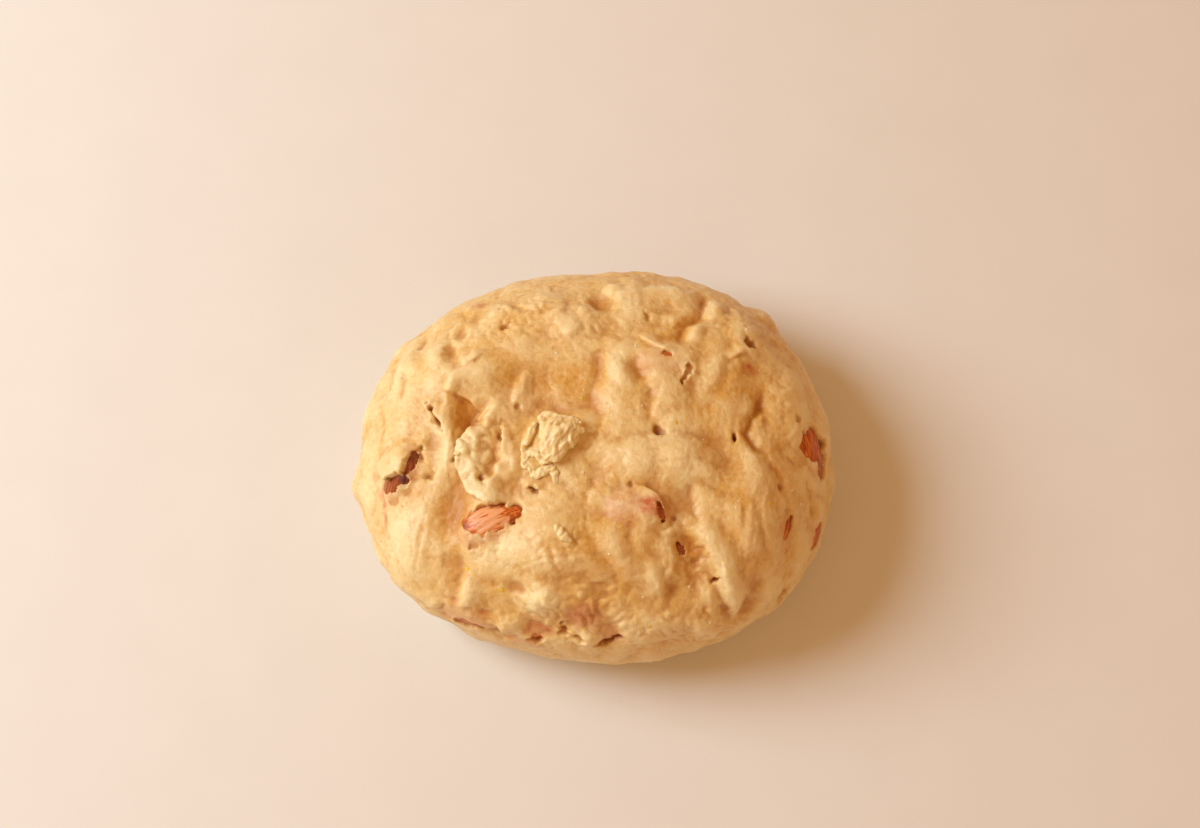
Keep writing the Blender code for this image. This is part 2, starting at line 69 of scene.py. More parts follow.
# swells and dents: x, y, half length, half width, turn in degrees, height
swells = {
    # large masses
    "backLeft": (-47, 27, 38, 24, 30, 3.0),
    "backMiddle": (-12, 46, 32, 14, 0, 2.0),
    "backRight": (46, 36, 27, 24, 0, 2.5),
    "frontLeft": (-59, -40, 32, 22, -60, 2.0),
    "frontMiddle": (-8, -38, 48, 24, 0, 2.4),
    "rightLobe": (48, -30, 48, 23, 80, 3.6),
    "middle": (17, -7, 38, 14, -10, 1.6),
    "pocket": (-42, 11, 12, 9, 80, -6.0),
    # flap
    "flapStrip": (-40.5, -5, 5.5, 13, 6, 0.9),
    "flapRoll": (-34.5, -19, 9, 3.4, -28, 1.3),
    "flapPlateau": (-29, -7, 5.5, 9, 0, 0.8),
    "flapTop": (-32, 10, 9, 6, 0, 0.9),
    "flapRidge": (-26.5, -8, 2.4, 8, 0, 0.7),
    "tuftRise": (-14, -1, 11, 12, 0, 1.6),
    "flapLumpA": (-40.2, 9, 2.6, 3.0, 0, 0.9),
    "flapLumpB": (-41.4, 3.5, 2.2, 2.8, 20, 1.1),
    "flapLumpC": (-42.4, -3.5, 2.4, 3.2, 0, 1.0),
    "flapLumpD": (-38.4, -1, 2.0, 3.4, -10, 0.9),
    "flapLumpE": (-36, 6, 2.0, 2.8, 15, 0.9),
    "flapLumpF": (-39.6, -9, 2.8, 2.2, 0, 0.8),
    "flapLumpG": (-29.4, -12, 3.4, 2.6, 20, 0.8),
    "flapLumpH": (-27.5, -2.5, 2.2, 3.2, 0, 0.8),
    "flapLumpI": (-32.2, 12, 3.2, 2.2, 0, 0.7),
    # back left
    "lobeBackLeft": (-63, 30, 8.6, 18, 0, 1.6),
    "pillowBackLeft": (-53, 27, 9.2, 14, 0, 1.5),
    "pillowLeft": (-38, 24, 13, 9.2, 0, 1.6),
    "pillowBack": (-33, 47, 8.6, 7.6, 0, 1.5),
    "brow": (-44, 21, 14, 6.5, -8, 1.2),
    "dentLeftA": (-45, 40, 3.8, 5.9, 0, -2.0),
    "dentLeftB": (-48, 32, 3.2, 5.9, 0, -2.0),
    "dentLeftC": (-40, 46, 7.6, 5.4, 0, -0.8),
    "notchBackLeft": (-60, 48, 8.0, 6.0, 0, -2.0),
    # left
    "columnLeft": (-65, 6, 12, 22, 0, 2.2),
    "lobeEnd": (-64, -5, 9.7, 9.7, 0, 2.2),
    "strap": (-49, 0, 5.4, 24, -4, 1.4),
    "dentStrap": (-54, 0, 3.2, 8.6, 0, -0.8),
    "pocketFloor": (-43, 12, 7.6, 5.4, 0, 0.8),
    "rimLeftBulge": (-80, -5, 4.3, 13, 0, 1.4),
    # back
    "knobBackA": (-17, 51, 11, 13, 0, 1.8),
    "knobBackB": (12, 51, 13, 14, 0, 2.2),
    "knobBackC": (-7, 42, 12, 8.6, 0, 1.2),
    "crestBack": (5, 57, 4.3, 3.8, 0, 1.2),
    "crestBackLow": (1, 34, 7.6, 4.9, 0, 0.8),
    "ridgeBackA": (7, 23, 7.5, 18, 0, 1.7),
    "ridgeBackB": (24, 12, 9.7, 11, 0, 1.0),
    "tongue": (-25, 18, 3.8, 9.7, -20, 1.4),
    "bumpAlmondBack": (25, 26, 16, 12, -10, 2.6),
    "dentBack": (2, 51, 7, 6.5, 0, -2.6),
    "dipBroad": (-14, 17, 27, 18, 0, -2.6),
    "dipBroadLow": (-9, 11, 18, 7.6, 0, -1.4),
    "dentBesideBump": (14, 24, 6.5, 6.5, 0, -1.6),
    # back right
    "capBack": (26, 55, 12, 7.6, 0, 2.2),
    "knobRightA": (32, 38, 4.3, 6.5, 0, 1.6),
    "knobRightB": (39, 49, 5.4, 7.6, 0, 1.8),
    "knobRightC": (48, 39, 7.6, 11, 0, 1.8),
    "knobRightD": (57, 53, 9.0, 9.0, 0, 2.8),
    "ridgeDiagonal": (37, 20, 5, 13, -30, 1.2),
    "massBackRight": (46, 13, 12, 16, 0, 1.6),
    "lobeFarRight": (64, 16, 14, 22, 20, 2.0),
    "farRight": (76, 10, 10, 16, 0, 1.8),
    "dentFarRight": (60, 38, 7.6, 13, 30, -1.2),
    # front left
    "hillLeft": (-58, -26, 16, 22, 0, 2.4),
    "hillLowLeft": (-60, -40, 18, 16, -40, 1.6),
    "bumpLowLeft": (-41, -48, 6.5, 9.7, 0, 1.2),
    "dipFlapA": (-47, -23, 9.5, 16, 0, -2.7),
    "dipFlapB": (-48, -39, 4.3, 5.4, 0, -1.4),
    "dipFlapC": (-49, -50, 4.3, 5.4, 0, -1.4),
    # middle
    "plateau": (20, -7, 24, 12, -8, 2.0),
    "middleBump": (14, -24, 13, 8.1, -12, 2.6),
    "slopeFront": (-12, -40, 32, 16, 0, 1.6),
    "bumpMiddleLeft": (-18, -29, 16, 13, 0, 1.4),
    "dentMiddle": (1, -11, 5.9, 8.6, 0, -1.0),
    # front
    "knuckle": (-18, -51, 11, 9.2, 0, 2.8),
    "bumpFrontA": (-2, -62, 6.5, 4.9, 0, 1.4),
    "bumpFrontB": (17, -59, 16, 13, 0, 1.8),
    "bumpFrontC": (-7, -52, 8.6, 5.4, 0, 1.0),
    "bumpFrontD": (-29, -57, 8.6, 5.4, 20, 1.6),
    "bumpFrontE": (19, -47, 3.8, 9.7, 15, 1.4),
    "bumpFrontF": (19, -65, 8.6, 4.3, 0, 1.2),
    "knobFrontRight": (37, -57, 8.6, 7.6, 0, 1.8),
    "dentKnuckle": (-20, -59, 7.6, 5.4, 0, -2.2),
    "dentFrontA": (5, -61, 5.9, 8.6, 0, -2.0),
    "dentFrontB": (1, -49, 5.4, 4.3, 0, -1.2),
    "dentFrontC": (-24, -48, 8.6, 3.2, 0, -1.2),
    "dentFrontD": (-34, -57, 3.8, 4.3, 0, -1.4),
    "dentFrontE": (25, -48, 5.4, 5.4, 0, -1.4),
    "dentFrontF": (-7, -46, 16, 4.3, 0, -1.0),
    # right
    "ridgeRight": (30, -5, 12, 16, 20, 2.0),
    "ridgeRightMiddle": (35, -26, 6.5, 18, -8, 0.8),
    "ridgeRightLow": (41, -45, 8.5, 21, 14, 3.0),
    "flankRight": (51, -20, 14, 25, 0, 1.4),
    "bumpRightA": (57, -45, 7.0, 11, -20, 1.4),
    "bumpRightB": (66, -30, 6.5, 18, 0, 1.8),
    "bumpRightC": (69, -13, 7.6, 9.7, 0, 1.4),
    "dentRightA": (50, -48, 5.4, 15, -20, -2.0),
    "dentRightB": (63, -45, 3.2, 7.6, -30, -1.2),
    "dentRightC": (45, -11, 7.6, 8.6, 0, -0.8),
    "dentRightTop": (71, 1, 7.6, 14, 15, -1.6),
    "cleftFloor": (30, -40, 6.5, 16, 20, -3.0),
}
# creases: depth, half width, points
creases = {
    "grooveBackLeft": (1.6, 3.0, ((-58, 43), (-59, 39), (-60, 35))),
    "grooveLeftA": (1.6, 3.0, ((-64, 28), (-63, 22), (-64, 16))),
    "grooveLeftB": (1.0, 2.2, ((-73, 20), (-70, 9), (-72, 1))),
    "wrinkleLeft": (1.0, 2.0, ((-52, 14), (-49, 14))),
    "valleyBack": (2.2, 5.0, ((0, 33), (1, 25), (-2, 17), (-2, 10))),
    "furrowBack": (1.4, 4.0, ((18, 18), (17, 12), (17, 4))),
    "furrowBackRight": (3.2, 4.5, ((36, 58), (36, 49), (34, 45), (30, 42), (28, 38), (27, 33))),
    "foldRight": (3.2, 3.5, ((55, 21), (54, 14), (51, 9), (49, 3), (52, -2), (58, -4))),
    "valley": (1.6, 6.0, ((-4, 3), (7, -1), (20, 2), (34, 1), (45, -1))),
    "furrowFlap": (2.0, 5.0, ((-39, 14), (-43, 4), (-46, -3))),
    "cleft": (4.2, 4.8, ((26, -28), (29, -32), (33, -36), (35.5, -40), (37.5, -44.5), (40.5, -50),
                         (42.5, -56))),
    "cleftSide": (0.9, 4.0, ((29.5, -13), (30.5, -20), (32, -27), (33.5, -34))),
    "rightSideA": (1.2, 3.0, ((55, -5), (59, -10), (61, -18), (61, -28))),
    "rightSideB": (1.8, 3.0, ((67, -9), (70, -14), (72, -22))),
    "rightSideC": (1.0, 2.4, ((47, -20), (46, -30))),
    "strapEdge": (1.2, 4.0, ((-51, 3), (-52, -5), (-55, -12))),
    "forkLeft": (0.8, 2.4, ((-12, -14), (-10, -18), (-6, -22))),
    "forkRight": (0.8, 3.0, ((0, -12), (-3, -19), (-4, -24))),
    "rimLeftA": (1.6, 3.0, ((-79, -10), (-77, -20), (-73, -27), (-66, -36))),
    "rimLeftB": (1.2, 2.4, ((-57, -45), (-54, -48), (-49, -51))),
    "dipDown": (2.2, 5.0, ((-45, -33), (-44, -39), (-45, -46), (-46, -50))),
    "ovalLeft": (0.8, 2.0, ((-40, -50), (-43, -52), (-44, -54))),
    "crestFront": (1.2, 3.0, ((17, -45), (19, -49), (20, -53))),
    "rimFront": (1.2, 3.0, ((-38, -56), (-32, -59), (-25, -60))),
    "frontA": (1.0, 3.0, ((-12, -59), (-7, -58))),
    "frontB": (1.0, 2.4, ((-8, -61), (-4, -62))),
    "cleftEnd": (1.4, 3.0, ((41, -50), (43, -53), (44, -55))),
    "flapValley": (1.8, 3.2, ((-31.5, 4), (-32.5, 0), (-33.5, -4), (-33, -7), (-34.5, -10), (-37, -13))),
    "backRightLine": (1.2, 3.0, ((48, 36), (52, 35), (53, 33))),
    "slopeA": (1.0, 4.0, ((-41, -44), (-31, -46), (-21, -46))),
    "slopeB": (0.8, 4.0, ((14, -35), (20, -39), (23, -45))),
}
# lips: height, overhang, reach inwards, points; the high side is on the left of the way along the points
lips = {
    "flap": (2.8, 1.6, 12.0, ((-38, 13), (-39, 8), (-41, 3), (-44, -3), (-44, -9), (-42, -14), (-40, -17),
                             (-37, -19), (-33, -21.5), (-28, -22.5), (-25, -22))),
    "pocketBrow": (3.2, 1.0, 9.0, ((-50, 18), (-45, 17), (-41, 15), (-38, 11))),
    "leftLobe": (3.4, 1.4, 10.0, ((-71, 0), (-69, -7), (-65, -11), (-63, -9), (-61, -4), (-58, -1))),
    "arcBack": (1.6, 0.6, 5.0, ((14, 38), (18, 34), (22, 31), (26, 30))),
    "arcRight": (1.4, 0.5, 4.0, ((42, 28), (46, 31), (49, 32), (53, 30))),
    "wrinkleA": (1.0, 0.4, 4.0, ((-50, 23), (-46, 25))),
    "wrinkleB": (1.2, 0.4, 5.0, ((-45, 26), (-41, 27), (-37, 30))),
    "curl": (1.2, 0.5, 4.0, ((-57, 16), (-55, 12), (-52, 7))),
    "almondBrow": (1.6, 0.7, 6.0, ((22, -29), (21, -25), (19, -20), (16, -18), (12, -17))),
    "curlFlapA": (1.2, 0.5, 3.5, ((-32, 6), (-30, -1), (-31, -6))),
    "curlFlapB": (1.4, 0.5, 4.0, ((-32, -7), (-33, -14), (-36, -16))),
    "curlFlapC": (1.2, 0.5, 3.5, ((-24, -6), (-21, -10), (-19, -12))),
    "hood": (1.6, 0.8, 4.0, ((-24, -17), (-22, -16), (-18, -18))),
}
# small holes poked or torn in the skin: x, y, half length, half width, turn, depth
pits = {
    "valleyA": (20, 2, 2.0, 1.5, 0, 2.0),
    "valleyB": (45, 1, 0.8, 1.7, 0, 3.4),
    "leftSlit": (-53, 9, 1.1, 3.8, 25, 3.0),
    "byAlmond": (-40, -34, 2.0, 1.7, 0, 1.8),
    "flapPit": (-37, -13.3, 1.2, 1.3, 0, 1.7),
    "flapEdge": (-20.5, -17.5, 1.9, 1.5, -20, 1.9),
    "flapDent": (-31.5, 3, 1.2, 2.6, 0, 1.2),
    "flapNick": (-45.5, -6.5, 1.6, 1.0, -30, 1.0),
    "slitHole": (-63.5, -11.5, 2.2, 2.0, 0, 6.0),
    "cleftA": (37.8, -44.5, 1.0, 0.9, 0, 1.8),
    "cleftB": (34, -36.5, 1.2, 1.4, 0, 0.6),
    "cleftC": (32.5, -40.5, 1.4, 2.4, 20, 0.6),
    "cleftD": (25.3, -27, 1.0, 0.9, 0, 1.0),
    "middle": (11, -16.5, 1.4, 0.9, -45, 1.0),
    "rightA": (59, -14, 1.1, 1.0, 0, 1.3),
    "rightB": (66, 10, 1.4, 1.1, 0, 1.4),
    "rightC": (62, -46, 1.6, 3.8, -25, 1.4),
    "backRightA": (50, 35, 1.9, 1.6, 0, 2.0),
    "backRightB": (30, 23, 1.1, 3.2, -30, 2.4),
    "backA": (-30, 41, 1.6, 1.4, 0, 1.6),
    "backB": (-26, 12, 1.4, 1.4, 0, 1.2),
    "backC": (17, 45, 1.4, 1.4, 0, 1.2),
    "leftA": (-66, -17, 2.7, 1.1, -15, 1.8),
    "leftB": (-57, -4, 1.1, 2.2, 0, 1.8),
    "leftC": (-55, -11, 2.2, 1.1, 10, 1.4),
    "frontA": (-11, -60, 1.6, 2.7, 0, 2.0),
    "frontB": (-5, -62, 2.2, 1.1, -30, 1.4),
}
# knobbly and torn stretches of the skin: x, y, half length, half width, turn, strength
knobbly = {
    "back": (-26, 43, 18, 13, 0, 0.8),
    "front": (-5, -56, 27, 15, 0, 1.0),
    "frontRight": (30, -58, 22, 14, 0, 1.0),
    "backRight": (48, 41, 18, 13, 0, 0.8),
    "flap": (-38.5, -4, 9, 22, 0, 1.5),
    "cleft": (30, -40, 11, 18, 30, 1.0),
    "leftLow": (-41, -53, 18, 8.6, 0, 0.8),
    "middle": (-12, -36, 14, 9.7, 0, 0.5),
    "backMiddle": (-4, 42, 26, 16, 0, 0.5),
}
torn = {
    "left": (-46, -4, 30, 7.6, 90, 1.0),
    "fork": (-6, -16, 15, 13, -45, 0.8),
    "middle": (19, -9, 32, 12, -10, 0.8),
    "right": (47, 10, 19, 19, 90, 0.7),
    "front": (6, -46, 18, 10, 20, 0.7),
    "rimLeft": (-73, -34, 22, 7.6, -55, 1.0),
    "side": (52, -23, 27, 16, 90, 0.8),
    "bump": (23, -24, 8.6, 5.4, -60, 1.2),
    "almond": (-19, -61, 7.6, 7.6, 60, 1.2),
    "ridgeLow": (41, -42, 20, 9, 112, 1.2),
    "hillLeft": (-56, -32, 17, 14, 70, 0.8),
    "back": (-8, 30, 30, 15, 8, 0.7),
    "backLeft": (-50, 28, 18, 16, 60, 0.7),
    "slope": (-14, -42, 24, 10, 10, 0.8),
}
skin = {
    "foldSize": 12.0,        # rounded lumps that meet in soft creases
    "foldHeight": 1.0,
    "foldWarp": 5.0,
    "foldSoftness": 0.006,
    "creaseSoftness": 0.03,
    "routeFade": 0.3,        # share of a crease or lip over which its ends fade
    "smallFoldSize": 5.5,
    "smallFoldHeight": 0.52,
    "smallFoldWarp": 2.6,
    "knobSize": 3.6,
    "knobHeight": 0.45,
    "knobWarp": 1.8,
    "pitReach": 1.6,         # in half widths, as the unevenness widens a pit in places
    "pitUnevenness": 0.7,
    "pitUnevenSize": 1.7,
    "pitSteepness": 0.75,
    "tearSpacing": 1.5,
    "tearLength": 11.0,
    "tearHeight": 0.36,
    "tearSway": 1.2,
    "tearSwaySize": 8.0,
    "fineSize": 1.6,
    "fineHeight": 0.2,
    "roughSize": 26.0,       # how far apart the rougher and the calmer stretches lie
    "fineRoughSize": 19.0,
    "wobbleSize": 17.0,
    "wobbleHeight": 1.2,
    "lipEdge": 1.2,
    "lipCurl": 3.0,
}


def throughStops(before, here, after, beyond, share):
    # a smooth way from here to after that also heeds the stops on either side
    bend = 3.0 * (here - after) + beyond - before
    curve = 2.0 * before - 5.0 * here + 4.0 * after - beyond + share * bend
    return here + 0.5 * share * (after - before + share * curve)


def planRadius(angle):
    radii = np.array(lump["radii"])
    count = len(radii)
    place = (angle / (2.0 * math.pi) * count) % count
    index = np.floor(place).astype(int)
    before, here, after, beyond = (radii[(index + step) % count] for step in (-1, 0, 1, 2))
    return throughStops(before, here, after, beyond, place - index)


def bareLump(directions):
    angle = np.arctan2(directions[:, 1], directions[:, 0])
    level = np.hypot(directions[:, 0], directions[:, 1])
    climb = directions[:, 2]
    power = np.where(climb > 0.0, lump["crownPower"], 2.0)
    reach = (level ** power + np.abs(climb) ** power) ** (-1.0 / power)
    radius = planRadius(angle) * level * reach
    belly = lump["bellyHeight"]
    rise = np.where(climb > 0.0, lump["height"] - belly, lump["sag"] * belly)
    height = belly + rise * climb * reach
    softness = lump["baseSoftness"]
    soft = (height + softness) ** 2 / (4.0 * softness)
    height = np.where(height > softness, height, np.where(height < -softness, 0.0, soft))
    return np.stack((radius * np.cos(angle), radius * np.sin(angle), height), axis=1)


def crownPoint(x, y):
    share = min(math.hypot(x, y) / float(planRadius(math.atan2(y, x))), 0.995)
    power, belly = lump["crownPower"], lump["bellyHeight"]
    height = belly + (lump["height"] - belly) * (1.0 - share ** power) ** (1.0 / power)
    return np.array((x, y, height))


def crownNormal(x, y):
    step = 0.5
    along = crownPoint(x + step, y) - crownPoint(x - step, y)
    across = crownPoint(x, y + step) - crownPoint(x, y - step)
    normal = np.cross(along, across)
    return normal / np.linalg.norm(normal)


def hill(distance):
    return np.clip(1.0 - distance ** 2, 0.0, 1.0) ** 2


def smoothStep(values):
    values = np.clip(values, 0.0, 1.0)
    return values * values * (3.0 - 2.0 * values)


def skinAxes(x, y, turn):
    normal = crownNormal(x, y)
    heading = np.array((math.cos(math.radians(turn)), math.sin(math.radians(turn)), 0.0))
    heading = heading - normal * (heading @ normal)
    heading = heading / np.linalg.norm(heading)
    return heading, np.cross(normal, heading), normal


def spotDistance(points, x, y, length, width, turn):
    heading, side, normal = skinAxes(x, y, turn)
    offset = points - crownPoint(x, y)
    return np.sqrt((offset @ heading / length) ** 2 + (offset @ side / width) ** 2
                   + (offset @ normal / max(length, width)) ** 2)


def alongRoute(points, route):
    # nearest distance, distance to the left, the way to the left, how much the route has faded at its ends
    nearest = np.full(len(points), 1e9)
    left = np.zeros(len(points))
    sideWay = np.zeros((len(points), 3))
    travelled = np.zeros(len(points))
    stops = [crownPoint(x, y) for x, y in route]
    total = 0.0
    for start, end in zip(stops[:-1], stops[1:]):
        way = end - start
        length = np.linalg.norm(way)
        way = way / length
        share = np.clip((points - start) @ way, 0.0, length)
        offset = points - start - share[:, None] * way
        distance = np.linalg.norm(offset, axis=1)
        toLeft = np.cross(crownNormal(*((start + end) / 2.0)[:2]), way)
        closer = distance < nearest
        nearest = np.where(closer, distance, nearest)
        left = np.where(closer, np.where(offset @ toLeft >= 0.0, distance, -distance), left)
        sideWay[closer] = toLeft
        travelled = np.where(closer, total + share, travelled)
        total += length
    fade = smoothStep(np.minimum(travelled, total - travelled) / (skin["routeFade"] * total) + 0.1)
    return nearest, left, sideWay, fade


def nearRoute(points, route, reach):
    stops = np.array([crownPoint(x, y) for x, y in route])
    low, high = stops.min(axis=0) - reach, stops.max(axis=0) + reach
    return np.flatnonzero(np.all((points > low) & (points < high), axis=1))


def noiseAt(points, size, origin=(0.0, 0.0, 0.0)):
    start = Vector(origin)
    return np.array([noise.noise(Vector(point) / size + start) for point in points])


def foldsAt(points, size, warp):
    # rounded lumps with creases between them, their pattern pushed about so that no lump is like the next
    push = np.stack([noiseAt(points, size * 1.7, (seed, 0.0, 0.0)) for seed in (2.0, 12.0, 22.0)], axis=1)
    folded = noiseAt(points + push * warp, size, (7.0, 1.0, 4.0))
    return 2.0 * np.sqrt(folded ** 2 + skin["foldSoftness"]) - 0.5


def strengthAt(points, spots):
    strength = np.zeros(len(points))
    for *spot, amount in spots.values():
        strength = np.maximum(strength, amount * smoothStep(1.6 * (1.0 - spotDistance(points, *spot))))
    return strength


def calmBelow(points):
    return smoothStep((points[:, 2] - 1.0) / lump["calmHeight"])


def relief(points, normals):
    lift = np.zeros(len(points))
    slide = np.zeros((len(points), 3))
    for *spot, height in swells.values():
        lift += height * hill(spotDistance(points, *spot))
    for depth, width, route in creases.values():
        near = nearRoute(points, route, width)
        nearest, _, _, fade = alongRoute(points[near], route)
        away = np.sqrt((nearest / width) ** 2 + skin["creaseSoftness"])
        lift[near] -= depth * fade * np.clip(1.0 - away, 0.0, 1.0) ** 2
    for height, overhang, reach, route in lips.values():
        near = nearRoute(points, route, reach)
        nearest, left, toLeft, fade = alongRoute(points[near], route)
        edge = np.where(left > 0.0, hill(left / reach), hill(left / skin["lipEdge"])) * fade
        edge = edge * np.sqrt(hill(np.clip(nearest / reach, 0.0, 1.0)))
        lift[near] += height * edge
        slide[near] -= toLeft * (overhang * edge * hill(left / skin["lipCurl"]))[:, None]
    rough = 0.5 + 0.5 * noiseAt(points, skin["roughSize"], (4.0, 8.0, 15.0))
    lift += skin["wobbleHeight"] * noiseAt(points, skin["wobbleSize"], lump["noiseOrigin"])
    lift += skin["foldHeight"] * (0.4 + rough) * foldsAt(points, skin["foldSize"], skin["foldWarp"])
    return (normals * lift[:, None] + slide) * calmBelow(points)[:, None]


def fineRelief(points, bare):
    # points are where the skin is, bare where the same skin lies on the lump before its relief
    rough = np.clip(0.35 + 0.9 * noiseAt(bare, skin["fineRoughSize"], (1.0, 5.0, 2.0)), 0.05, 1.0)
    knobs = np.clip(rough * 0.5 + strengthAt(bare, knobbly), 0.0, 1.6)
    smallFolds = foldsAt(bare, skin["smallFoldSize"], skin["smallFoldWarp"])
    lift = skin["smallFoldHeight"] * (0.25 + 0.75 * knobs) * smallFolds
    lift += skin["knobHeight"] * knobs * foldsAt(bare, skin["knobSize"], skin["knobWarp"])
    for x, y, length, width, turn, amount in torn.values():
        distance = spotDistance(bare, x, y, length, width, turn)
        near = np.flatnonzero(distance < 1.0)
        heading, side, normal = skinAxes(x, y, turn)
        local = np.stack((bare[near] @ heading / skin["tearLength"], bare[near] @ side / skin["tearSpacing"],
                          bare[near] @ normal / skin["tearSpacing"]), axis=1)
        local[:, 1] += skin["tearSway"] * noiseAt(bare[near], skin["tearSwaySize"])
        lift[near] += skin["tearHeight"] * amount * hill(distance[near]) * noiseAt(local, 1.0)
    for *spot, depth in pits.values():
        distance = spotDistance(bare, *spot)
        near = np.flatnonzero(distance < skin["pitReach"])
        uneven = 0.8 + skin["pitUnevenness"] * noiseAt(bare[near], skin["pitUnevenSize"])
        lift[near] -= depth * hill(distance[near] * uneven) ** skin["pitSteepness"]
    lift += skin["fineHeight"] * noiseAt(points, skin["fineSize"])
    return lift * calmBelow(points)


def readPoints(mesh, name, attribute):
    values = np.empty(len(mesh.vertices) * 3)
    getattr(mesh, name).foreach_get(attribute, values)
    return values.reshape(-1, 3)


def writePoints(mesh, points):
    mesh.vertices.foreach_set("co", points.ravel())
    mesh.update()


def deselectAll():
    for obj in bpy.context.selected_objects:
        obj.select_set(False)


def makeActive(obj):
    deselectAll()
    obj.select_set(True)
    bpy.context.view_layer.objects.active = obj


def applyModifier(obj, kind, **settings):
    makeActive(obj)
    modifier = obj.modifiers.new(kind.title(), kind)
    for name, value in settings.items():
        setattr(modifier, name, value)
    bpy.ops.object.modifier_apply(modifier=modifier.name)


def addBall(subdivisions):
    deselectAll()
    bpy.ops.mesh.primitive_ico_sphere_add(subdivisions=subdivisions, radius=1.0)
    return bpy.context.object


def copyPiece(source):
    piece = source.copy()
    piece.data = source.data.copy()
    bpy.context.scene.collection.objects.link(piece)
    return piece


def joinPieces(pieces, name):
    makeActive(pieces[0])
    for piece in pieces:
        piece.select_set(True)
    bpy.ops.object.join()
    pieces[0].name = name
    return pieces[0]


def finishPiece(piece, material, node=None):
    piece.data.materials.clear()
    piece.data.materials.append(material)
    piece.data.shade_smooth()
    if node:
        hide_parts(node)
    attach(piece, "root")


def surfaceTree(mesh):
    corners = readPoints(mesh, "vertices", "co") / mm
    return BVHTree.FromPolygons(corners.tolist(), [tuple(polygon.vertices) for polygon in mesh.polygons])


def storeNumbers(mesh, name, values):
    attribute = mesh.attributes.get(name) or mesh.attributes.new(name, "FLOAT", "POINT")
    attribute.data.foreach_set("value", np.asarray(values, dtype=np.float32))


def linear(hexColour, alpha=1.0):
    channels = [int(hexColour[i:i + 2], 16) / 255.0 for i in (1, 3, 5)]
    return tuple(c / 12.92 if c <= 0.04045 else ((c + 0.055) / 1.055) ** 2.4 for c in channels) + (alpha,)


def addNode(tree, kind, inputs=None, links=None, **settings):
    node = tree.nodes.new(kind)
    for name, value in settings.items():
        setattr(node, name, value)
    for name, value in (inputs or {}).items():
        node.inputs[name].default_value = value
    for name, source in (links or {}).items():
        tree.links.new(source, node.inputs[name])
    return node


def newMaterial(name):
    material = bpy.data.materials.new(name)
    material.use_nodes = True
    tree = material.node_tree
    tree.nodes.clear()
    return material, tree


def layOver(tree, under, over, source, start, end, most=1.0):
    # the colour over lies on the one under it, from none where the source is start to its most at end
    share = addNode(tree, "ShaderNodeMapRange", {"From Min": start, "From Max": end, "To Max": most},
                    {"Value": source})
    inputs, links = {7: linear(over)}, {0: share.outputs[0]}
    if isinstance(under, str):
        inputs[6] = linear(under)
    else:
        links[6] = under
    return addNode(tree, "ShaderNodeMix", inputs, links, data_type="RGBA").outputs[2]


def finishSurface(tree, colour, height, gloss, finish):
    # the last nodes of a surface: fine bump, gloss that may vary with a pattern, light that sinks in
    strength, depth = finish["bump"]
    bumpy = addNode(tree, "ShaderNodeBump", {"Strength": strength, "Distance": depth * mm},
                    {"Height": height})
    links = {"Base Color": colour, "Normal": bumpy.outputs[0]}
    if gloss:
        smoother, rougher = finish["glossSpread"]
        spread = addNode(tree, "ShaderNodeMapRange", {"To Min": finish["roughness"] - smoother,
                                                      "To Max": finish["roughness"] + rougher},
                         {"Value": gloss})
        links["Roughness"] = spread.outputs[0]
    weight, scatterDepth, colours = finish["scatter"]
    shader = addNode(tree, "ShaderNodeBsdfPrincipled",
                     {"IOR": finish["ior"], "Roughness": finish["roughness"], "Subsurface Weight": weight,
                      "Subsurface Scale": scatterDepth * mm, "Subsurface Radius": colours}, links)
    addNode(tree, "ShaderNodeOutputMaterial", links={"Surface": shader.outputs[0]})


doughFinish = {
    "light": "#ebd095",
    "middle": "#e0b768",
    # deep colours the butter specks and the painted shade in hollows and creases
    "deep": "#bd761c",
    # crest colours the flour flecks and the painted highlight on crests
    "crest": "#f4e9bb",
    # pale is kneaded pale dough and painted light on raised places
    "pale": "#f3e3b0",
    # gold is golden dough and painted shade in hollows and on the right flank
    "gold": "#d69e3e",
    "almondTint": "#c9734a",
    # colour of the painted shade in recesses
    "recessShade": "#a65c1c",
    "ior": 1.45,
    "roughness": 0.37,
    "glossSpread": (0.12, 0.12),
    "bump": (1.0, 0.25),                        # strength, height in mm
    "scatter": (0.6, 1.3, (1.0, 0.7, 0.38)),    # weight, depth in mm, share of red, green and blue
}
# patterns in the dough: size in mm, detail, roughness, distortion
doughPatterns = {
    "patches": (14.0, 5.0, 0.6, 0.6),
    "ragged": (5.0, 6.0, 0.65, 0.0),
    "specks": (1.4, 4.0, 0.5, 0.0),
    "flecks": (2.2, 3.0, 0.6, 0.3),
    "cloud": (2.4, 3.0, 0.5, 0.0),
    "grain": (1.0, 5.0, 0.6, 0.0),
}
# colours laid one over the other: colour, what it follows, where it starts, where it is strongest, strength
doughLayers = (
    ("middle", "patches", 0.36, 0.64, 1.0),
    ("pale", "toned", 0.1, 0.9, 0.85),          # kneaded pale stretches with painted light on raised places, golden painted shade in hollows and on the right flank
    ("gold", "toned", -0.1, -0.9, 0.8),
    ("deep", "specks", 0.56, 0.74, 0.26),       # butter-rich specks
    ("crest", "flecks", 0.5, 0.75, 0.4),        # fine flecks of flour and fat
    ("deep", "hollowShadeCrestLight", 0.08, 1.1, 0.55),        # painted shade: hollows are deeper in colour; painted highlight: crests are paler
    ("crest", "hollowShadeCrestLight", -0.1, -1.0, 0.4),
    # painted shade in creases
    ("deep", "creaseShade", 0.1, 1.4, 0.25),
    ("recessShade", "recessShade", 0.26, 0.56, 0.9),      # painted shade: recesses shut in by dough turn brown
)


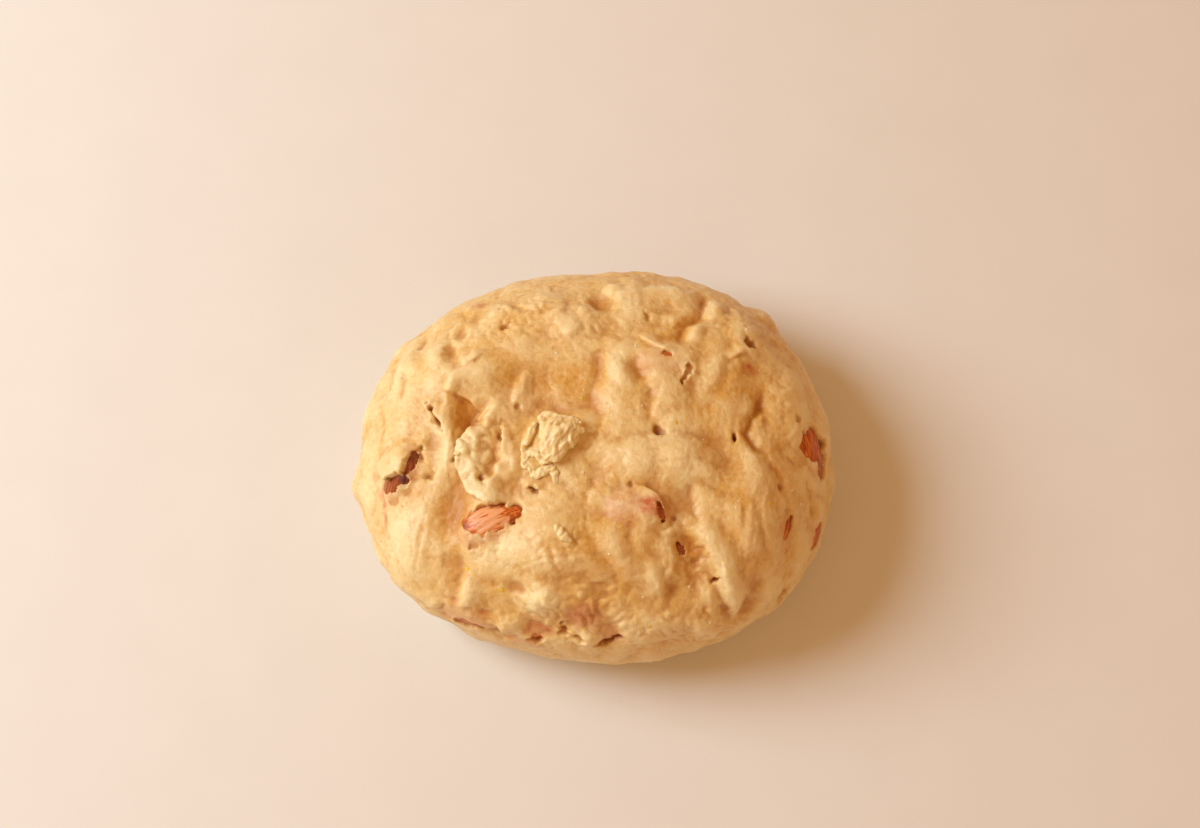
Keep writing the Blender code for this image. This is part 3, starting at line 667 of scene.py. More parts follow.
def makeDoughMaterial():
    # raw butter dough: moist satin skin, light sinks in and comes back warm
    material, tree = newMaterial("rawDough")
    place = addNode(tree, "ShaderNodeTexCoord").outputs["Object"]
    values = {}
    for name, (size, detail, roughness, distortion) in doughPatterns.items():
        pattern = addNode(tree, "ShaderNodeTexNoise",
                          {"Scale": 1.0 / (size * mm), "Detail": detail, "Roughness": roughness,
                           "Distortion": distortion}, {"Vector": place})
        values[name] = pattern.outputs[0]
    for name in ("tone", "hollowShadeCrestLight", "creaseShade", "recessShade", "film"):
        values[name] = addNode(tree, "ShaderNodeAttribute", attribute_name=name).outputs["Fac"]
    # the pale and golden stretches, kneaded tone with painted light and shade, are ragged at their edges
    shifted = addNode(tree, "ShaderNodeMapRange", {"To Min": -0.75, "To Max": 0.75},
                      {"Value": values["ragged"]})
    toned = addNode(tree, "ShaderNodeMath", links={0: values["tone"], 1: shifted.outputs[0]},
                    operation="ADD")
    values["toned"] = toned.outputs[0]
    colour = doughFinish["light"]
    for over, source, start, end, most in doughLayers:
        colour = layOver(tree, colour, doughFinish[over], values[source], start, end, most)
    # skin so thin that an almond shows through it
    cloudy = addNode(tree, "ShaderNodeMapRange", {"From Min": 0.3, "From Max": 0.62, "To Min": 0.35},
                     {"Value": values["cloud"]})
    thin = addNode(tree, "ShaderNodeMath", links={0: values["film"], 1: cloudy.outputs[0]},
                   operation="MULTIPLY")
    colour = layOver(tree, colour, doughFinish["almondTint"], thin.outputs[0], 0.0, 1.0)
    finishSurface(tree, colour, values["grain"], values["specks"], doughFinish)
    return material


almondFinish = {
    "light": "#ee9c50",
    "skin": "#d06a24",
    "groove": "#9c4214",
    "dark": "#54201c",
    "smear": "#efb57f",
    "wrinkleStreaks": (5.0, 0.55, 0.5),         # length and width in mm, distortion
    "smearStreaks": (3.8, 1.15, 0.4),
    "ior": 1.46,
    "roughness": 0.28,
    "glossSpread": (0.1, 0.15),
    "bump": (0.7, 0.3),
    "scatter": (0.2, 1.0, (1.0, 0.4, 0.2)),
}


def makeAlmondMaterial():
    # moist almond skin, wrinkled along the kernel, smeared with thin dough
    material, tree = newMaterial("almondSkin")
    finish = almondFinish
    along = addNode(tree, "ShaderNodeAttribute", attribute_name="kernel").outputs["Vector"]
    streaks = []
    for length, width, distortion in (finish["wrinkleStreaks"], finish["smearStreaks"]):
        stretched = addNode(tree, "ShaderNodeMapping",
                            {"Scale": (1.0 / length, 1.0 / width, 1.0 / width)}, {"Vector": along})
        pattern = addNode(tree, "ShaderNodeTexNoise",
                          {"Scale": 1.0, "Detail": 3.0, "Distortion": distortion},
                          {"Vector": stretched.outputs[0]})
        streaks.append(pattern.outputs[0])
    wrinkles, smears = streaks
    colour = layOver(tree, finish["groove"], finish["skin"], wrinkles, 0.26, 0.54)
    colour = layOver(tree, colour, finish["light"], wrinkles, 0.5, 0.68)
    darkness = addNode(tree, "ShaderNodeAttribute", attribute_name="darkness")
    colour = layOver(tree, colour, finish["dark"], darkness.outputs["Fac"], 0.0, 1.0)
    smear = addNode(tree, "ShaderNodeAttribute", attribute_name="smear")
    smeared = addNode(tree, "ShaderNodeMath", links={0: smears, 1: smear.outputs["Fac"]},
                      operation="ADD")
    colour = layOver(tree, colour, finish["smear"], smeared.outputs[0], 0.98, 1.12, 0.8)
    finishSurface(tree, colour, wrinkles, smears, finish)
    return material


# flakes of lemon zest, and bits of blanched almond and undissolved sugar
zestFinish = {
    "name": "lemonZest",
    "light": "#f7d23c",
    "deep": "#e0a818",
    "poreSize": 0.5,
    "ior": 1.45,
    "roughness": 0.4,
    "bump": (0.4, 0.08),
    "scatter": (0.4, 0.5, (1.0, 0.7, 0.2)),
}
grainFinish = {
    "name": "paleGrains",
    "light": "#fff0d2",
    "deep": "#f0cf98",
    "poreSize": 0.7,
    "ior": 1.46,
    "roughness": 0.45,
    "bump": (0.5, 0.1),
    "scatter": (0.5, 0.6, (1.0, 0.8, 0.5)),
}


def makeBitMaterial(finish):
    material, tree = newMaterial(finish["name"])
    place = addNode(tree, "ShaderNodeTexCoord").outputs["Object"]
    pores = addNode(tree, "ShaderNodeTexNoise",
                    {"Scale": 1.0 / (finish["poreSize"] * mm), "Detail": 2.0}, {"Vector": place}).outputs[0]
    colour = layOver(tree, finish["light"], finish["deep"], pores, 0.0, 1.0)
    finishSurface(tree, colour, pores, None, finish)
    return material


# almonds: dough smeared on the skin, how dark the skin is (its own colour, with painted shade for almonds
# deep in the slit and the cleft), how strongly it shows through the dough over it, how deep the dough opens
# over it in mm
almonds = {
    "almond_flap": (0.61, 0.0, 0.5, 4.5),
    "almond_left_slit": (0.3, 0.45, 0.5, 8.0),
    "almond_right": (0.25, 0.05, 0.25, 5.0),
    "almond_back_bump": (0.3, 0.0, 0.35, 4.5),
    "almond_middle_bump": (0.45, 0.1, 0.6, 4.5),
    "almond_right_side": (0.3, 0.1, 0.3, 4.5),
    "almond_right_rim": (0.3, 0.15, 0.4, 4.5),
    "almond_front_rim_left": (0.4, 0.0, 0.5, 4.5),
    "almond_front_rim": (0.5, 0.1, 1.0, 4.5),
    "almond_front_rim_right": (0.3, 0.6, 0.5, 4.5),
    "almond_cleft": (0.2, 0.55, 0.3, 4.5),
}
kernelRidges = {"height": 0.2, "spacing": 1.1, "length": 9.0, "seedStep": 3.3, "smearReach": 7.5}


def makeAlmond(node, smear, material):
    kernel = copyPiece(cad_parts[node])
    kernel.name = node.replace("almond_", "kernel_")
    makeActive(kernel)
    bpy.ops.object.mode_set(mode="EDIT")
    bpy.ops.mesh.select_all(action="SELECT")
    bpy.ops.mesh.remove_doubles(threshold=0.01 * mm)
    bpy.ops.object.mode_set(mode="OBJECT")
    applyModifier(kernel, "SUBSURF", levels=3, render_levels=3)
    mesh = kernel.data
    points = readPoints(mesh, "vertices", "co") / mm
    normals = readPoints(mesh, "vertex_normals", "vector")
    middle = points.mean(axis=0)
    _, axes = np.linalg.eigh(np.cov((points - middle).T))
    local = (points - middle) @ axes[:, ::-1]       # along the kernel, across it, through it
    stretched = local / np.array((kernelRidges["length"], kernelRidges["spacing"], kernelRidges["spacing"]))
    ridges = noiseAt(stretched, 1.0, (len(node) * kernelRidges["seedStep"], 0.0, 0.0))
    writePoints(mesh, (points + normals * (ridges * kernelRidges["height"])[:, None]) * mm)
    grain = mesh.attributes.new("kernel", "FLOAT_VECTOR", "POINT")
    grain.data.foreach_set("vector", local.astype(np.float32).ravel())
    bareEnds = smoothStep(1.5 - np.abs(local[:, 0]) / kernelRidges["smearReach"])
    storeNumbers(mesh, "smear", smear * bareEnds)
    finishPiece(kernel, material, node)
    return kernel


# where an almond lies bare: x, y, half length, half width, turn
windows = {
    "flapAlmond": ((-34, -26.2, 10.2, 4.9, 12), (-26, -23.5, 4.0, 1.8, 25)),
    "leftSlitAlmond": ((-67, -12, 4.6, 2.4, -20), (-70.3, -8.5, 3.8, 1.7, -68), (-60.4, -6.6, 4.8, 1.6, 61),
                       (-63.5, -11, 3, 2.4, 0)),
    "rightAlmond": ((71.6, 3.8, 5.6, 6.2, -68), (75, -2, 5.4, 3.9, -70)),
    "backBumpAlmond": ((23, 29, 1.6, 1.1, -20),),
    "middleBumpAlmond": ((20.3, -25.5, 4.5, 0.9, -68),),
    "rightSideAlmond": ((62, -26, 4.2, 1.5, 80),),
    "rightRimAlmond": ((73, -25, 5, 1.6, 80),),
    "frontRimLeftAlmond": ((-42, -54, 5.5, 2.2, -20),),
    "frontRimAlmond": ((-20, -61, 2.6, 2.0, 40),),
    "frontRimRightAlmond": ((3, -63, 4.0, 1.5, 15), (7, -62, 2.0, 1.0, 0)),
    "cleftAlmond": ((27.4, -36.4, 2.5, 1.3, -62),),
}
almondCover = {
    "nearby": 16.0,          # mm from the kernel's middle
    "reach": 12.0,
    "film": 0.35,            # dough over a hidden almond
    "sunk": 1.3,             # skin that opens goes this far under the almond's top
    "edge": 0.14,
    "ragged": 0.45,
    "raggedSize": 2.2,
    "show": 1.5,
    "tentRounds": 40,
    "tentDrop": 0.97,
    "openRounds": 5,
}


def traitsOf(kernel):
    return almonds[kernel.name.replace("kernel_", "almond_")]


def pointsNear(kernel, points):
    middle = readPoints(kernel.data, "vertices", "co").mean(axis=0) / mm
    return np.flatnonzero(np.linalg.norm(points - middle, axis=1) < almondCover["nearby"])


def fitToAlmonds(mesh, points, bare, normals, kernels):
    # the skin is drawn over each almond as a thin film, and opens where the almond lies bare
    reach = almondCover["reach"]
    openness = np.zeros(len(points))
    ragged = almondCover["ragged"] * noiseAt(bare, almondCover["raggedSize"], (9.0, 4.0, 1.0))
    for window in windows.values():
        for spot in window:
            inside = 1.0 + ragged - spotDistance(bare, *spot)
            openness = np.maximum(openness, smoothStep(inside / almondCover["edge"]))
    covered = np.zeros(len(points))
    opened = np.zeros(len(points))
    for kernel in kernels:
        tree = surfaceTree(kernel.data)
        _, _, _, deepest = traitsOf(kernel)
        for index in pointsNear(kernel, points):
            normal = Vector(normals[index])
            distance = tree.ray_cast(Vector(points[index]) + normal * reach, -normal, 1.5 * reach)[3]
            if distance is None:
                continue
            top = reach - distance
            covered[index] = max(0.0, top + almondCover["film"])
            if top > -deepest:
                opened[index] = min(0.0, top - almondCover["sunk"])
            else:
                openness[index] = 0.0
    opened = smoothed(opened[:, None], mesh, almondCover["openRounds"], 0.5)[:, 0]
    # the skin comes down from an almond like a tent, not in a step
    tent = covered
    for _ in range(almondCover["tentRounds"]):
        tent = np.maximum(covered, almondCover["tentDrop"] * neighbourMean(mesh, tent[:, None])[:, 0])
    lift = tent * (1.0 - openness) + opened * openness
    return points + normals * lift[:, None]


# painted shade on the almonds, in holes, in gaps under lips of dough and on sides turned from the light: x,
# y, reach, darkness
almondShade = {
    "slitHole": (-63.3, -11.6, 2.8, 1.0),
    "slitLeftRim": (-71, -10, 1.6, 0.4),
    "slitUpper": (-59.6, -4.4, 5.0, 0.75),
    "flapLeftRim": (-43.6, -28, 2.2, 0.6),
    "flapSpot": (-27, -28, 2.0, 0.45),
    "flapTongue": (-24, -21.8, 2.4, 0.5),
    "rightTail": (77, -4, 5.0, 0.5),
    "rightEdge": (76, 4, 3.0, 0.4),
}


# paints shade on the almonds where they lie in holes, under the dough or turned from the light
def shadeAlmonds(kernels):
    for kernel in kernels:
        points = readPoints(kernel.data, "vertices", "co")[:, :2] / mm - view["lumpShift"][:2]
        _, darkest, _, _ = traitsOf(kernel)
        darkness = np.full(len(points), darkest)
        for x, y, reach, amount in almondShade.values():
            away = np.hypot(points[:, 0] - x, points[:, 1] - y)
            darkness = np.maximum(darkness, amount * hill(away / reach) ** 0.5)
        storeNumbers(kernel.data, "darkness", darkness)


def filmOver(points, kernels):
    # towards 1 where the skin is so thin that the almond under it shows through
    film = np.zeros(len(points))
    for kernel in kernels:
        tree = surfaceTree(kernel.data)
        _, _, strength, _ = traitsOf(kernel)
        for index in pointsNear(kernel, points):
            distance = tree.find_nearest(Vector(points[index]), 2.0 * almondCover["show"])[3]
            if distance is not None:
                film[index] = max(film[index], strength * (1.0 - distance / almondCover["show"]))
    return film


# faint reddish spots where an almond lies just under the skin: x, y, half length, half width, turn, strength
blushes = {
    "front": (-4, -56, 9, 7, 0, 0.7),
    "backRight": (50, 26, 5, 3.5, 0, 0.5),
    "backRightDot": (50, 27, 1.1, 1.0, 0, 2.0),
    "backLeft": (-40, 53, 3.5, 3, 0, 0.6),
    "left": (-69, -20, 8, 1.6, 85, 0.8),
    "underSlit": (-70, -14, 4, 3, 0, 0.7),
    "frontRimLeft": (-24, -61, 9, 4, 0, 0.5),
    "rightDot": (59, -14, 1.2, 1.2, 0, 0.8),
    "rightPatch": (57, -8, 4, 3, 0, 0.3),
    "aboveSlit": (-60, -9, 2.4, 4, 0, 0.7),
    "middleBumpEnd": (17, -23.5, 6, 4.5, -20, 1.0),
    "middleBumpStart": (10, -22.5, 4, 2.5, 0, 0.5),
}
# paler stretches above zero, partly kneaded pale dough and partly painted light on raised places and the lit
# left side; golden painted shade below zero, in hollows and on the right flank turned from the light: same
# order
tonesAndPaintedLight = {
    "flapStrip": (-40, -5, 6, 15, 5, 1.0),
    "flapRoll": (-34, -19, 9, 4, -28, 0.9),
    "flapTop": (-32, 9, 8, 5, 0, 0.6),
    "strap": (-50, 2, 6, 15, 0, 0.5),
    "rimLeft": (-75, -4, 8, 24, 0, 0.5),
    "lowLeft": (-63, -28, 10, 16, 20, 0.7),
    "lobeLeft": (-63, 24, 9, 12, 0, 0.5),
    "plateau": (24, 1, 13, 5, -5, 0.8),
    "bandA": (29, -12, 6, 11, 0, 0.7),
    "bandB": (24, -31, 4, 9, -20, 0.8),
    "ridgeLow": (42, -44, 3.6, 14, 15, 1.0),
    "knuckle": (-18, -51, 8, 7, 0, 1.0),
    "slopeLeft": (-32, -37, 13, 7, 0, 0.7),
    "besideBump": (6, -22, 9, 6, 0, 0.7),
    "fork": (-9, -14, 6, 8, 0, 0.5),
    "backRidge": (8, 25, 5, 9, 0, 0.7),
    "backKnob": (12, 46, 6, 8, 0, 0.6),
    "backCap": (24, 56, 9, 6, 0, 0.5),
    "farRight": (68, 14, 6, 5, 0, 0.6),
    "backRightFleck": (50, 30, 7, 4, 0, 0.6),
    "frontKnobs": (14, -58, 14, 8, 0, 0.3),
    "pocketGold": (-45, 10, 7, 9, 0, -0.8),
    "dipGold": (-46, -27, 10, 9, 0, -0.9),
    "dipLowGold": (-46, -42, 5, 9, 0, -0.7),
    "rightGold": (52, -24, 18, 27, 0, -0.55),
    "rightBackGold": (50, 14, 16, 17, 0, -0.55),
    "backGold": (-12, 21, 22, 10, 0, -0.6),
    "frontGold": (4, -41, 22, 9, 0, -0.6),
    "cleftGold": (30, -38, 6, 13, 20, -0.8),
    "frontRimGold": (6, -61, 8, 7, 0, -0.5),
    "furrowGold": (29, 43, 6, 13, -30, -0.5),
    "bumpGold": (24, 20, 9, 9, 0, -0.4),
}


def neighbourMean(mesh, values):
    edges = np.empty(len(mesh.edges) * 2, dtype=np.int64)
    mesh.edges.foreach_get("vertices", edges)
    first, second = edges[0::2], edges[1::2]
    count = np.bincount(edges, minlength=len(values)).astype(float)
    total = len(values)
    columns = [np.bincount(first, column[second], total) + np.bincount(second, column[first], total)
               for column in values.T]
    return np.stack(columns, axis=1) / count[:, None]


def smoothed(values, mesh, rounds, share=0.6):
    for _ in range(rounds):
        values = (1.0 - share) * values + share * neighbourMean(mesh, values)
    return values


# the short looks from each point that tell a recess: their reach in mm, how many, how far they lean
recesses = {"reach": 5.0, "ways": 8, "lean": 1.1, "clear": 0.12, "rounds": 2}


def recessAt(mesh, points, normals):
    # how much of the air over each point is shut in by dough near it: 0 in the open, towards 1 in a hole
    tree = surfaceTree(mesh)
    side = np.cross(normals, (0.3, 0.9, 0.1))
    side /= np.linalg.norm(side, axis=1)[:, None]
    other = np.cross(normals, side)
    starts = (points + normals * recesses["clear"]).tolist()
    shut = np.zeros(len(points))
    for turn in range(recesses["ways"]):
        angle = 2.0 * math.pi * turn / recesses["ways"]
        ways = (normals + recesses["lean"] * (side * math.cos(angle) + other * math.sin(angle))).tolist()
        for index, (start, way) in enumerate(zip(starts, ways)):
            distance = tree.ray_cast(start, way, recesses["reach"])[3]
            if distance is not None:
                shut[index] += 1.0 - 0.5 * distance / recesses["reach"]
    return smoothed(shut[:, None] / recesses["ways"], mesh, recesses["rounds"], 0.5)[:, 0]


# how widely the skin is smoothed to tell its creases and hollows, and the depth in mm that counts as one
tints = {
    "creaseRounds": 8,
    "creaseDepth": 0.1,
    "hollowRounds": 110,
    "hollowDepth": 0.8,
    "toneSpread": 1.3,
}


def storeTints(mesh, bare, kernels):
    points = readPoints(mesh, "vertices", "co") / mm
    normals = readPoints(mesh, "vertex_normals", "vector")
    near = smoothed(points, mesh, tints["creaseRounds"])
    wide = smoothed(near, mesh, tints["hollowRounds"])
    # the crease and hollow measures drive painted shade in creases and hollows and painted highlight on
    # crests
    storeNumbers(mesh, "creaseShade", ((near - points) * normals).sum(axis=1) / tints["creaseDepth"])
    storeNumbers(mesh, "hollowShadeCrestLight", ((wide - near) * normals).sum(axis=1) / tints["hollowDepth"])
    film = filmOver(points, kernels)
    tone = np.full(len(points), tuft["tone"])
    if bare is not None:
        film = np.maximum(film, strengthAt(bare, blushes))
        tone = np.zeros(len(points))
        # kneaded tone with painted light on raised places and painted shade in hollows and on the right
        # flank
        for *spot, amount in tonesAndPaintedLight.values():
            tone += amount * hill(spotDistance(bare, *spot) / tints["toneSpread"])
    # how shut in each point is, for the painted shade in recesses
    storeNumbers(mesh, "recessShade", recessAt(mesh, points, normals))
    storeNumbers(mesh, "film", film)
    storeNumbers(mesh, "tone", np.clip(tone, -1.0, 1.0))


def makeDough(kernels, material):
    dough = addBall(lump["subdivisions"])
    dough.name = "doughLump"
    mesh = dough.data
    directions = readPoints(mesh, "vertices", "co")
    directions /= np.linalg.norm(directions, axis=1)[:, None]
    climb = np.arcsin(np.clip(directions[:, 2], -1.0, 1.0))
    climb = climb + lump["topDensity"] * np.cos(climb)
    flat = np.maximum(np.hypot(directions[:, 0], directions[:, 1]), 1e-9)
    directions = np.stack((directions[:, 0] / flat * np.cos(climb), directions[:, 1] / flat * np.cos(climb),
                           np.sin(climb)), axis=1)
    bare = bareLump(directions)
    writePoints(mesh, bare)
    normals = readPoints(mesh, "vertex_normals", "vector")
    points = bare + relief(bare, normals)
    points[:, 2] = np.where(bare[:, 2] <= 0.0, 0.0, np.maximum(points[:, 2], 0.0))
    middle = (points.min(axis=0) + points.max(axis=0)) / 2.0
    low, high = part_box("dough")
    centre = (np.array(low) + np.array(high)) / 2.0 / mm
    shift = np.array((centre[0] - middle[0], centre[1] - middle[1], 0.0))
    view["lumpShift"] = shift
    print("lump formed, centred by", shift.round(2))
    writePoints(mesh, (points + shift) * mm)
    places = KDTree(len(points))
    for index, point in enumerate(points + shift):
        places.insert(point, index)
    places.balance()
    applyModifier(dough, "REMESH", mode="VOXEL", voxel_size=lump["voxel"] * mm, adaptivity=0.0)
    print("remeshed:", len(mesh.polygons), "faces")
    points = readPoints(mesh, "vertices", "co") / mm
    origin = np.array([places.find(point)[1] for point in points])
    outward = readPoints(mesh, "vertex_normals", "vector")
    points = points + outward * fineRelief(points, bare[origin])[:, None]
    print("fine relief made")
    points = fitToAlmonds(mesh, points, bare[origin], normals[origin], kernels)
    points[:, 2] = np.maximum(points[:, 2], 0.0)
    writePoints(mesh, points * mm)
    print("skin drawn over the almonds")
    count = sum(len(polygon.vertices) - 2 for polygon in mesh.polygons)
    applyModifier(dough, "DECIMATE", ratio=lump["triangles"] / count)
    print("thinned to", len(mesh.polygons), "triangles")
    origin = np.array([places.find(point)[1] for point in readPoints(mesh, "vertices", "co") / mm])
    storeTints(mesh, bare[origin], kernels)
    finishPiece(dough, material, "dough")
    return dough


def skinBelow(tree, x, y):
    # the finished skin's point and normal under a place on the lump
    above = 2.0 * lump["height"]
    start = Vector((x + view["lumpShift"][0], y + view["lumpShift"][1], above))
    point, normal, _, _ = tree.ray_cast(start, Vector((0.0, 0.0, -1.0)))
    return np.array(point), np.array(normal)


# strands of the ragged tuft: half width, half height, lift, points
strands = {
    "body": (4.8, 2.3, 0.4, ((-14.5, 5), (-12.5, 0), (-13.8, -6))),
    "bodyRight": (3.4, 2.2, 1.0, ((-8.5, 3.2), (-9, 0), (-11, -3))),
    "topEdge": (1.5, 1.6, 2.6, ((-18.6, 6.6), (-16.5, 7.6), (-14, 7), (-12, 5.4), (-9, 5.6), (-7, 5),
                                (-5.6, 4.2))),
    "ridgeA": (2.3, 1.8, 2.8, ((-7, 4.4), (-10, 4.6), (-13, 3.3), (-15, 1), (-15.6, -3), (-15, -8))),
    "ridgeB": (2.1, 1.7, 2.7, ((-4.8, 1.4), (-8, 1.6), (-11, 0.6), (-13.3, -1.2), (-13.9, -5),
                               (-13.3, -8.6))),
    "ridgeC": (1.9, 1.6, 2.1, ((-7.8, -0.8), (-10, -2.2), (-11.5, -4.5), (-12.4, -7.6))),
    "leftFace": (1.4, 1.8, 2.2, ((-18.0, 5.6), (-17.4, 3), (-17.9, 0.5), (-18.1, -0.6))),
    "leftLow": (1.6, 1.7, 1.7, ((-17, -1.5), (-16.9, -5), (-16.0, -8.6))),
    "tip": (0.9, 1.3, 2.8, ((-9.4, -1.4), (-8.4, -2.8), (-7.9, -4.4))),
    "wing": (1.5, 1.3, 0.9, ((-20.3, 4.2), (-21.3, 1.5), (-22.4, -1), (-24.0, -3.2))),
    "wingLow": (1.5, 0.7, 0.2, ((-24.2, -3.4), (-23.2, -6), (-23.6, -8.5), (-21.5, -11.2))),
    "shelf": (1.5, 1.0, 0.5, ((-22, -5.6), (-19.5, -6.2), (-17.3, -8.6))),
    "tail": (1.9, 0.8, 0.2, ((-15, -10), (-17, -11.6), (-20.4, -12.6))),
    "tailRight": (1.5, 0.7, 0.1, ((-14.6, -10.2), (-13.8, -12.8), (-13.2, -15))),
    "bead": (1.0, 1.0, 0.4, ((-46.2, -5.4), (-45, -5.2))),
    "scrap": (1.7, 1.0, 0.3, ((-13, -31), (-11.6, -32.6), (-10.2, -34.6))),
    "scrapEnd": (1.4, 0.8, 0.2, ((-10.4, -34.4), (-8.6, -35.2))),
}
tuft = {
    "step": 0.5,             # mm between the beads that a strand is formed of
    "wander": 0.3,
    "wanderStep": 0.22,
    "seedStep": 7.0,
    "endWidth": 0.7,
    "unevenness": 0.35,
    "voxel": 0.28,
    "raggedSize": 2.8,
    "raggedHeight": 0.17,
    "raggedWarp": 1.2,
    "smoothRounds": 8,
    "fineSize": 0.8,
    "fineHeight": 0.1,
    "fibreTurn": 58.0,
    "fibreLength": 4.5,
    "fibreSpacing": 1.05,
    "fibreHeight": 0.42,
    "tone": 0.75,
}


def curvePoints(stops, step):
    # evenly spread points on a smooth curve through the stops
    stops = np.array(stops, dtype=float)
    ends = np.vstack((2 * stops[0] - stops[1], stops, 2 * stops[-1] - stops[-2]))
    points = []
    for before, here, after, beyond in zip(ends[:-3], ends[1:-2], ends[2:-1], ends[3:]):
        count = max(2, int(np.linalg.norm(after - here) / step))
        for share in np.linspace(0.0, 1.0, count, endpoint=False):
            points.append(throughStops(before, here, after, beyond, share))
    points.append(stops[-1])
    return np.array(points)


def fibresAt(points):
    # pulled fibres that run down the tuft
    turn = math.radians(tuft["fibreTurn"])
    along = points[:, 0] * math.cos(turn) + points[:, 1] * math.sin(turn) + noiseAt(points, 4.0)
    across = points[:, 1] * math.cos(turn) - points[:, 0] * math.sin(turn) + noiseAt(points, 3.0)
    spacing = tuft["fibreSpacing"]
    stretched = (along / tuft["fibreLength"], across / spacing, points[:, 2] / spacing)
    return noiseAt(np.stack(stretched, axis=1), 1.0)


def makeTuft(tree, material):
    ball = addBall(2)
    ballPoints = readPoints(ball.data, "vertices", "co")
    beads = []
    for number, (width, height, lift, stops) in enumerate(strands.values()):
        line = curvePoints(stops, tuft["step"])
        for index, (x, y) in enumerate(line):
            arch = math.sin(math.pi * index / (len(line) - 1))
            taper = tuft["endWidth"] + (1.0 - tuft["endWidth"]) * arch
            seed = Vector((index * tuft["wanderStep"], number * tuft["seedStep"], 0.0))
            sway = noise.noise_vector(seed) * tuft["wander"]
            swell = taper * (1.0 + tuft["unevenness"] * noise.noise(seed * 1.9))
            point, _ = skinBelow(tree, x + sway.x, y + sway.y)
            middle = point + np.array((0.0, 0.0, lift * taper * (1.0 + 0.3 * sway.z)))
            bead = copyPiece(ball)
            size = np.array((width, width, height)) * swell
            writePoints(bead.data, (middle + ballPoints * size) * mm)
            beads.append(bead)
    bpy.data.objects.remove(ball, do_unlink=True)
    piece = joinPieces(beads, "doughTuft")
    applyModifier(piece, "REMESH", mode="VOXEL", voxel_size=tuft["voxel"] * mm, adaptivity=0.0)
    applyModifier(piece, "SMOOTH", factor=0.6, iterations=tuft["smoothRounds"])
    points = readPoints(piece.data, "vertices", "co") / mm
    normals = readPoints(piece.data, "vertex_normals", "vector")
    lift = tuft["raggedHeight"] * foldsAt(points, tuft["raggedSize"], tuft["raggedWarp"])
    lift += tuft["fineHeight"] * noiseAt(points, tuft["fineSize"]) + tuft["fibreHeight"] * fibresAt(points)
    writePoints(piece.data, (points + normals * lift[:, None]) * mm)
    applyModifier(piece, "TRIANGULATE")
    storeTints(piece.data, None, [])
    finishPiece(piece, material)
    print("tuft made:", len(piece.data.polygons), "triangles")


# flakes and grains pressed in the skin: places, size, how many more are strewn
zest = {
    "places": ((31, 59), (-5, 15), (-31, -48), (26, 5)),
    "size": (0.9, 0.55, 0.16),
    "strewn": 5,
    "sunk": 0.02,
    "seed": 5,
}
grains = {
    "places": ((46, -21), (37, -57), (50, 41), (15, -51), (15, -60), (49, 52), (4, 11), (-11, -34)),
    "size": (0.5, 0.42, 0.34),
    "strewn": 34,
    "sunk": 0.12,
    "seed": 11,
}


bitShape = {
    "spread": 0.9,           # how near to the rim bits are strewn, squared
    "smallest": 0.6,
    "largest": 1.15,
    "bumpSize": 1.4,
    "bumpHeight": 0.35,
}


def strewBits(name, bits, tree, material):
    first = addBall(3)
    base = readPoints(first.data, "vertices", "co")
    chance = random.Random(bits["seed"])
    places = list(bits["places"])
    while len(places) < len(bits["places"]) + bits["strewn"]:
        angle = chance.uniform(0.0, 2.0 * math.pi)
        share = math.sqrt(chance.uniform(0.0, bitShape["spread"]))
        radius = float(planRadius(angle)) * share
        places.append((radius * math.cos(angle), radius * math.sin(angle)))
    copies = []
    for number, (x, y) in enumerate(places):
        point, normal = skinBelow(tree, x, y)
        turn = Vector(normal).to_track_quat("Z", "X").to_matrix()
        spin = Matrix.Rotation(chance.uniform(0.0, math.pi), 3, "Z")
        grown = np.array(bits["size"]) * chance.uniform(bitShape["smallest"], bitShape["largest"])
        bumps = noiseAt(base * bitShape["bumpSize"], 1.0, (number * 5.0, 0.0, 0.0))[:, None]
        shaped = (base * (1.0 + bitShape["bumpHeight"] * bumps) * grown) @ np.array(turn @ spin).T
        bit = copyPiece(first)
        writePoints(bit.data, (point - normal * bits["sunk"] + shaped) * mm)
        copies.append(bit)
    bpy.data.objects.remove(first, do_unlink=True)
    finishPiece(joinPieces(copies, name), material)
    print(name, "strewn:", len(places))


studio = {
    "floor": "#e9eae8",
    "floorPatch": "#e4e5e2",
    "floorSize": 4.0,        # metres
    "floorPatchSize": 0.025,
    "floorRoughness": 0.8,
    "world": "#ffb96f",
    "worldStrength": 0.55,
    "keyPower": 15.3,
    "keySize": 0.8,
    "keyPlace": (-1.0, 0.16, 0.85),
    "fillPower": 0.8,
    "fillPlace": (0.5, -0.9, 0.8),
    "lightColour": (0.88, 0.955, 1.0),
}
view = {
    "elevation": 70.0,
    "distance": 0.9,
    "scale": 0.000337,       # metres a pixel at the middle of the lump, in a frame 1200 wide
    "middle": (597.0, 467.5),
    "middleHeight": 0.028,
    "frameSize": (1200.0, 828.0),
    "sensor": 36.0,
}


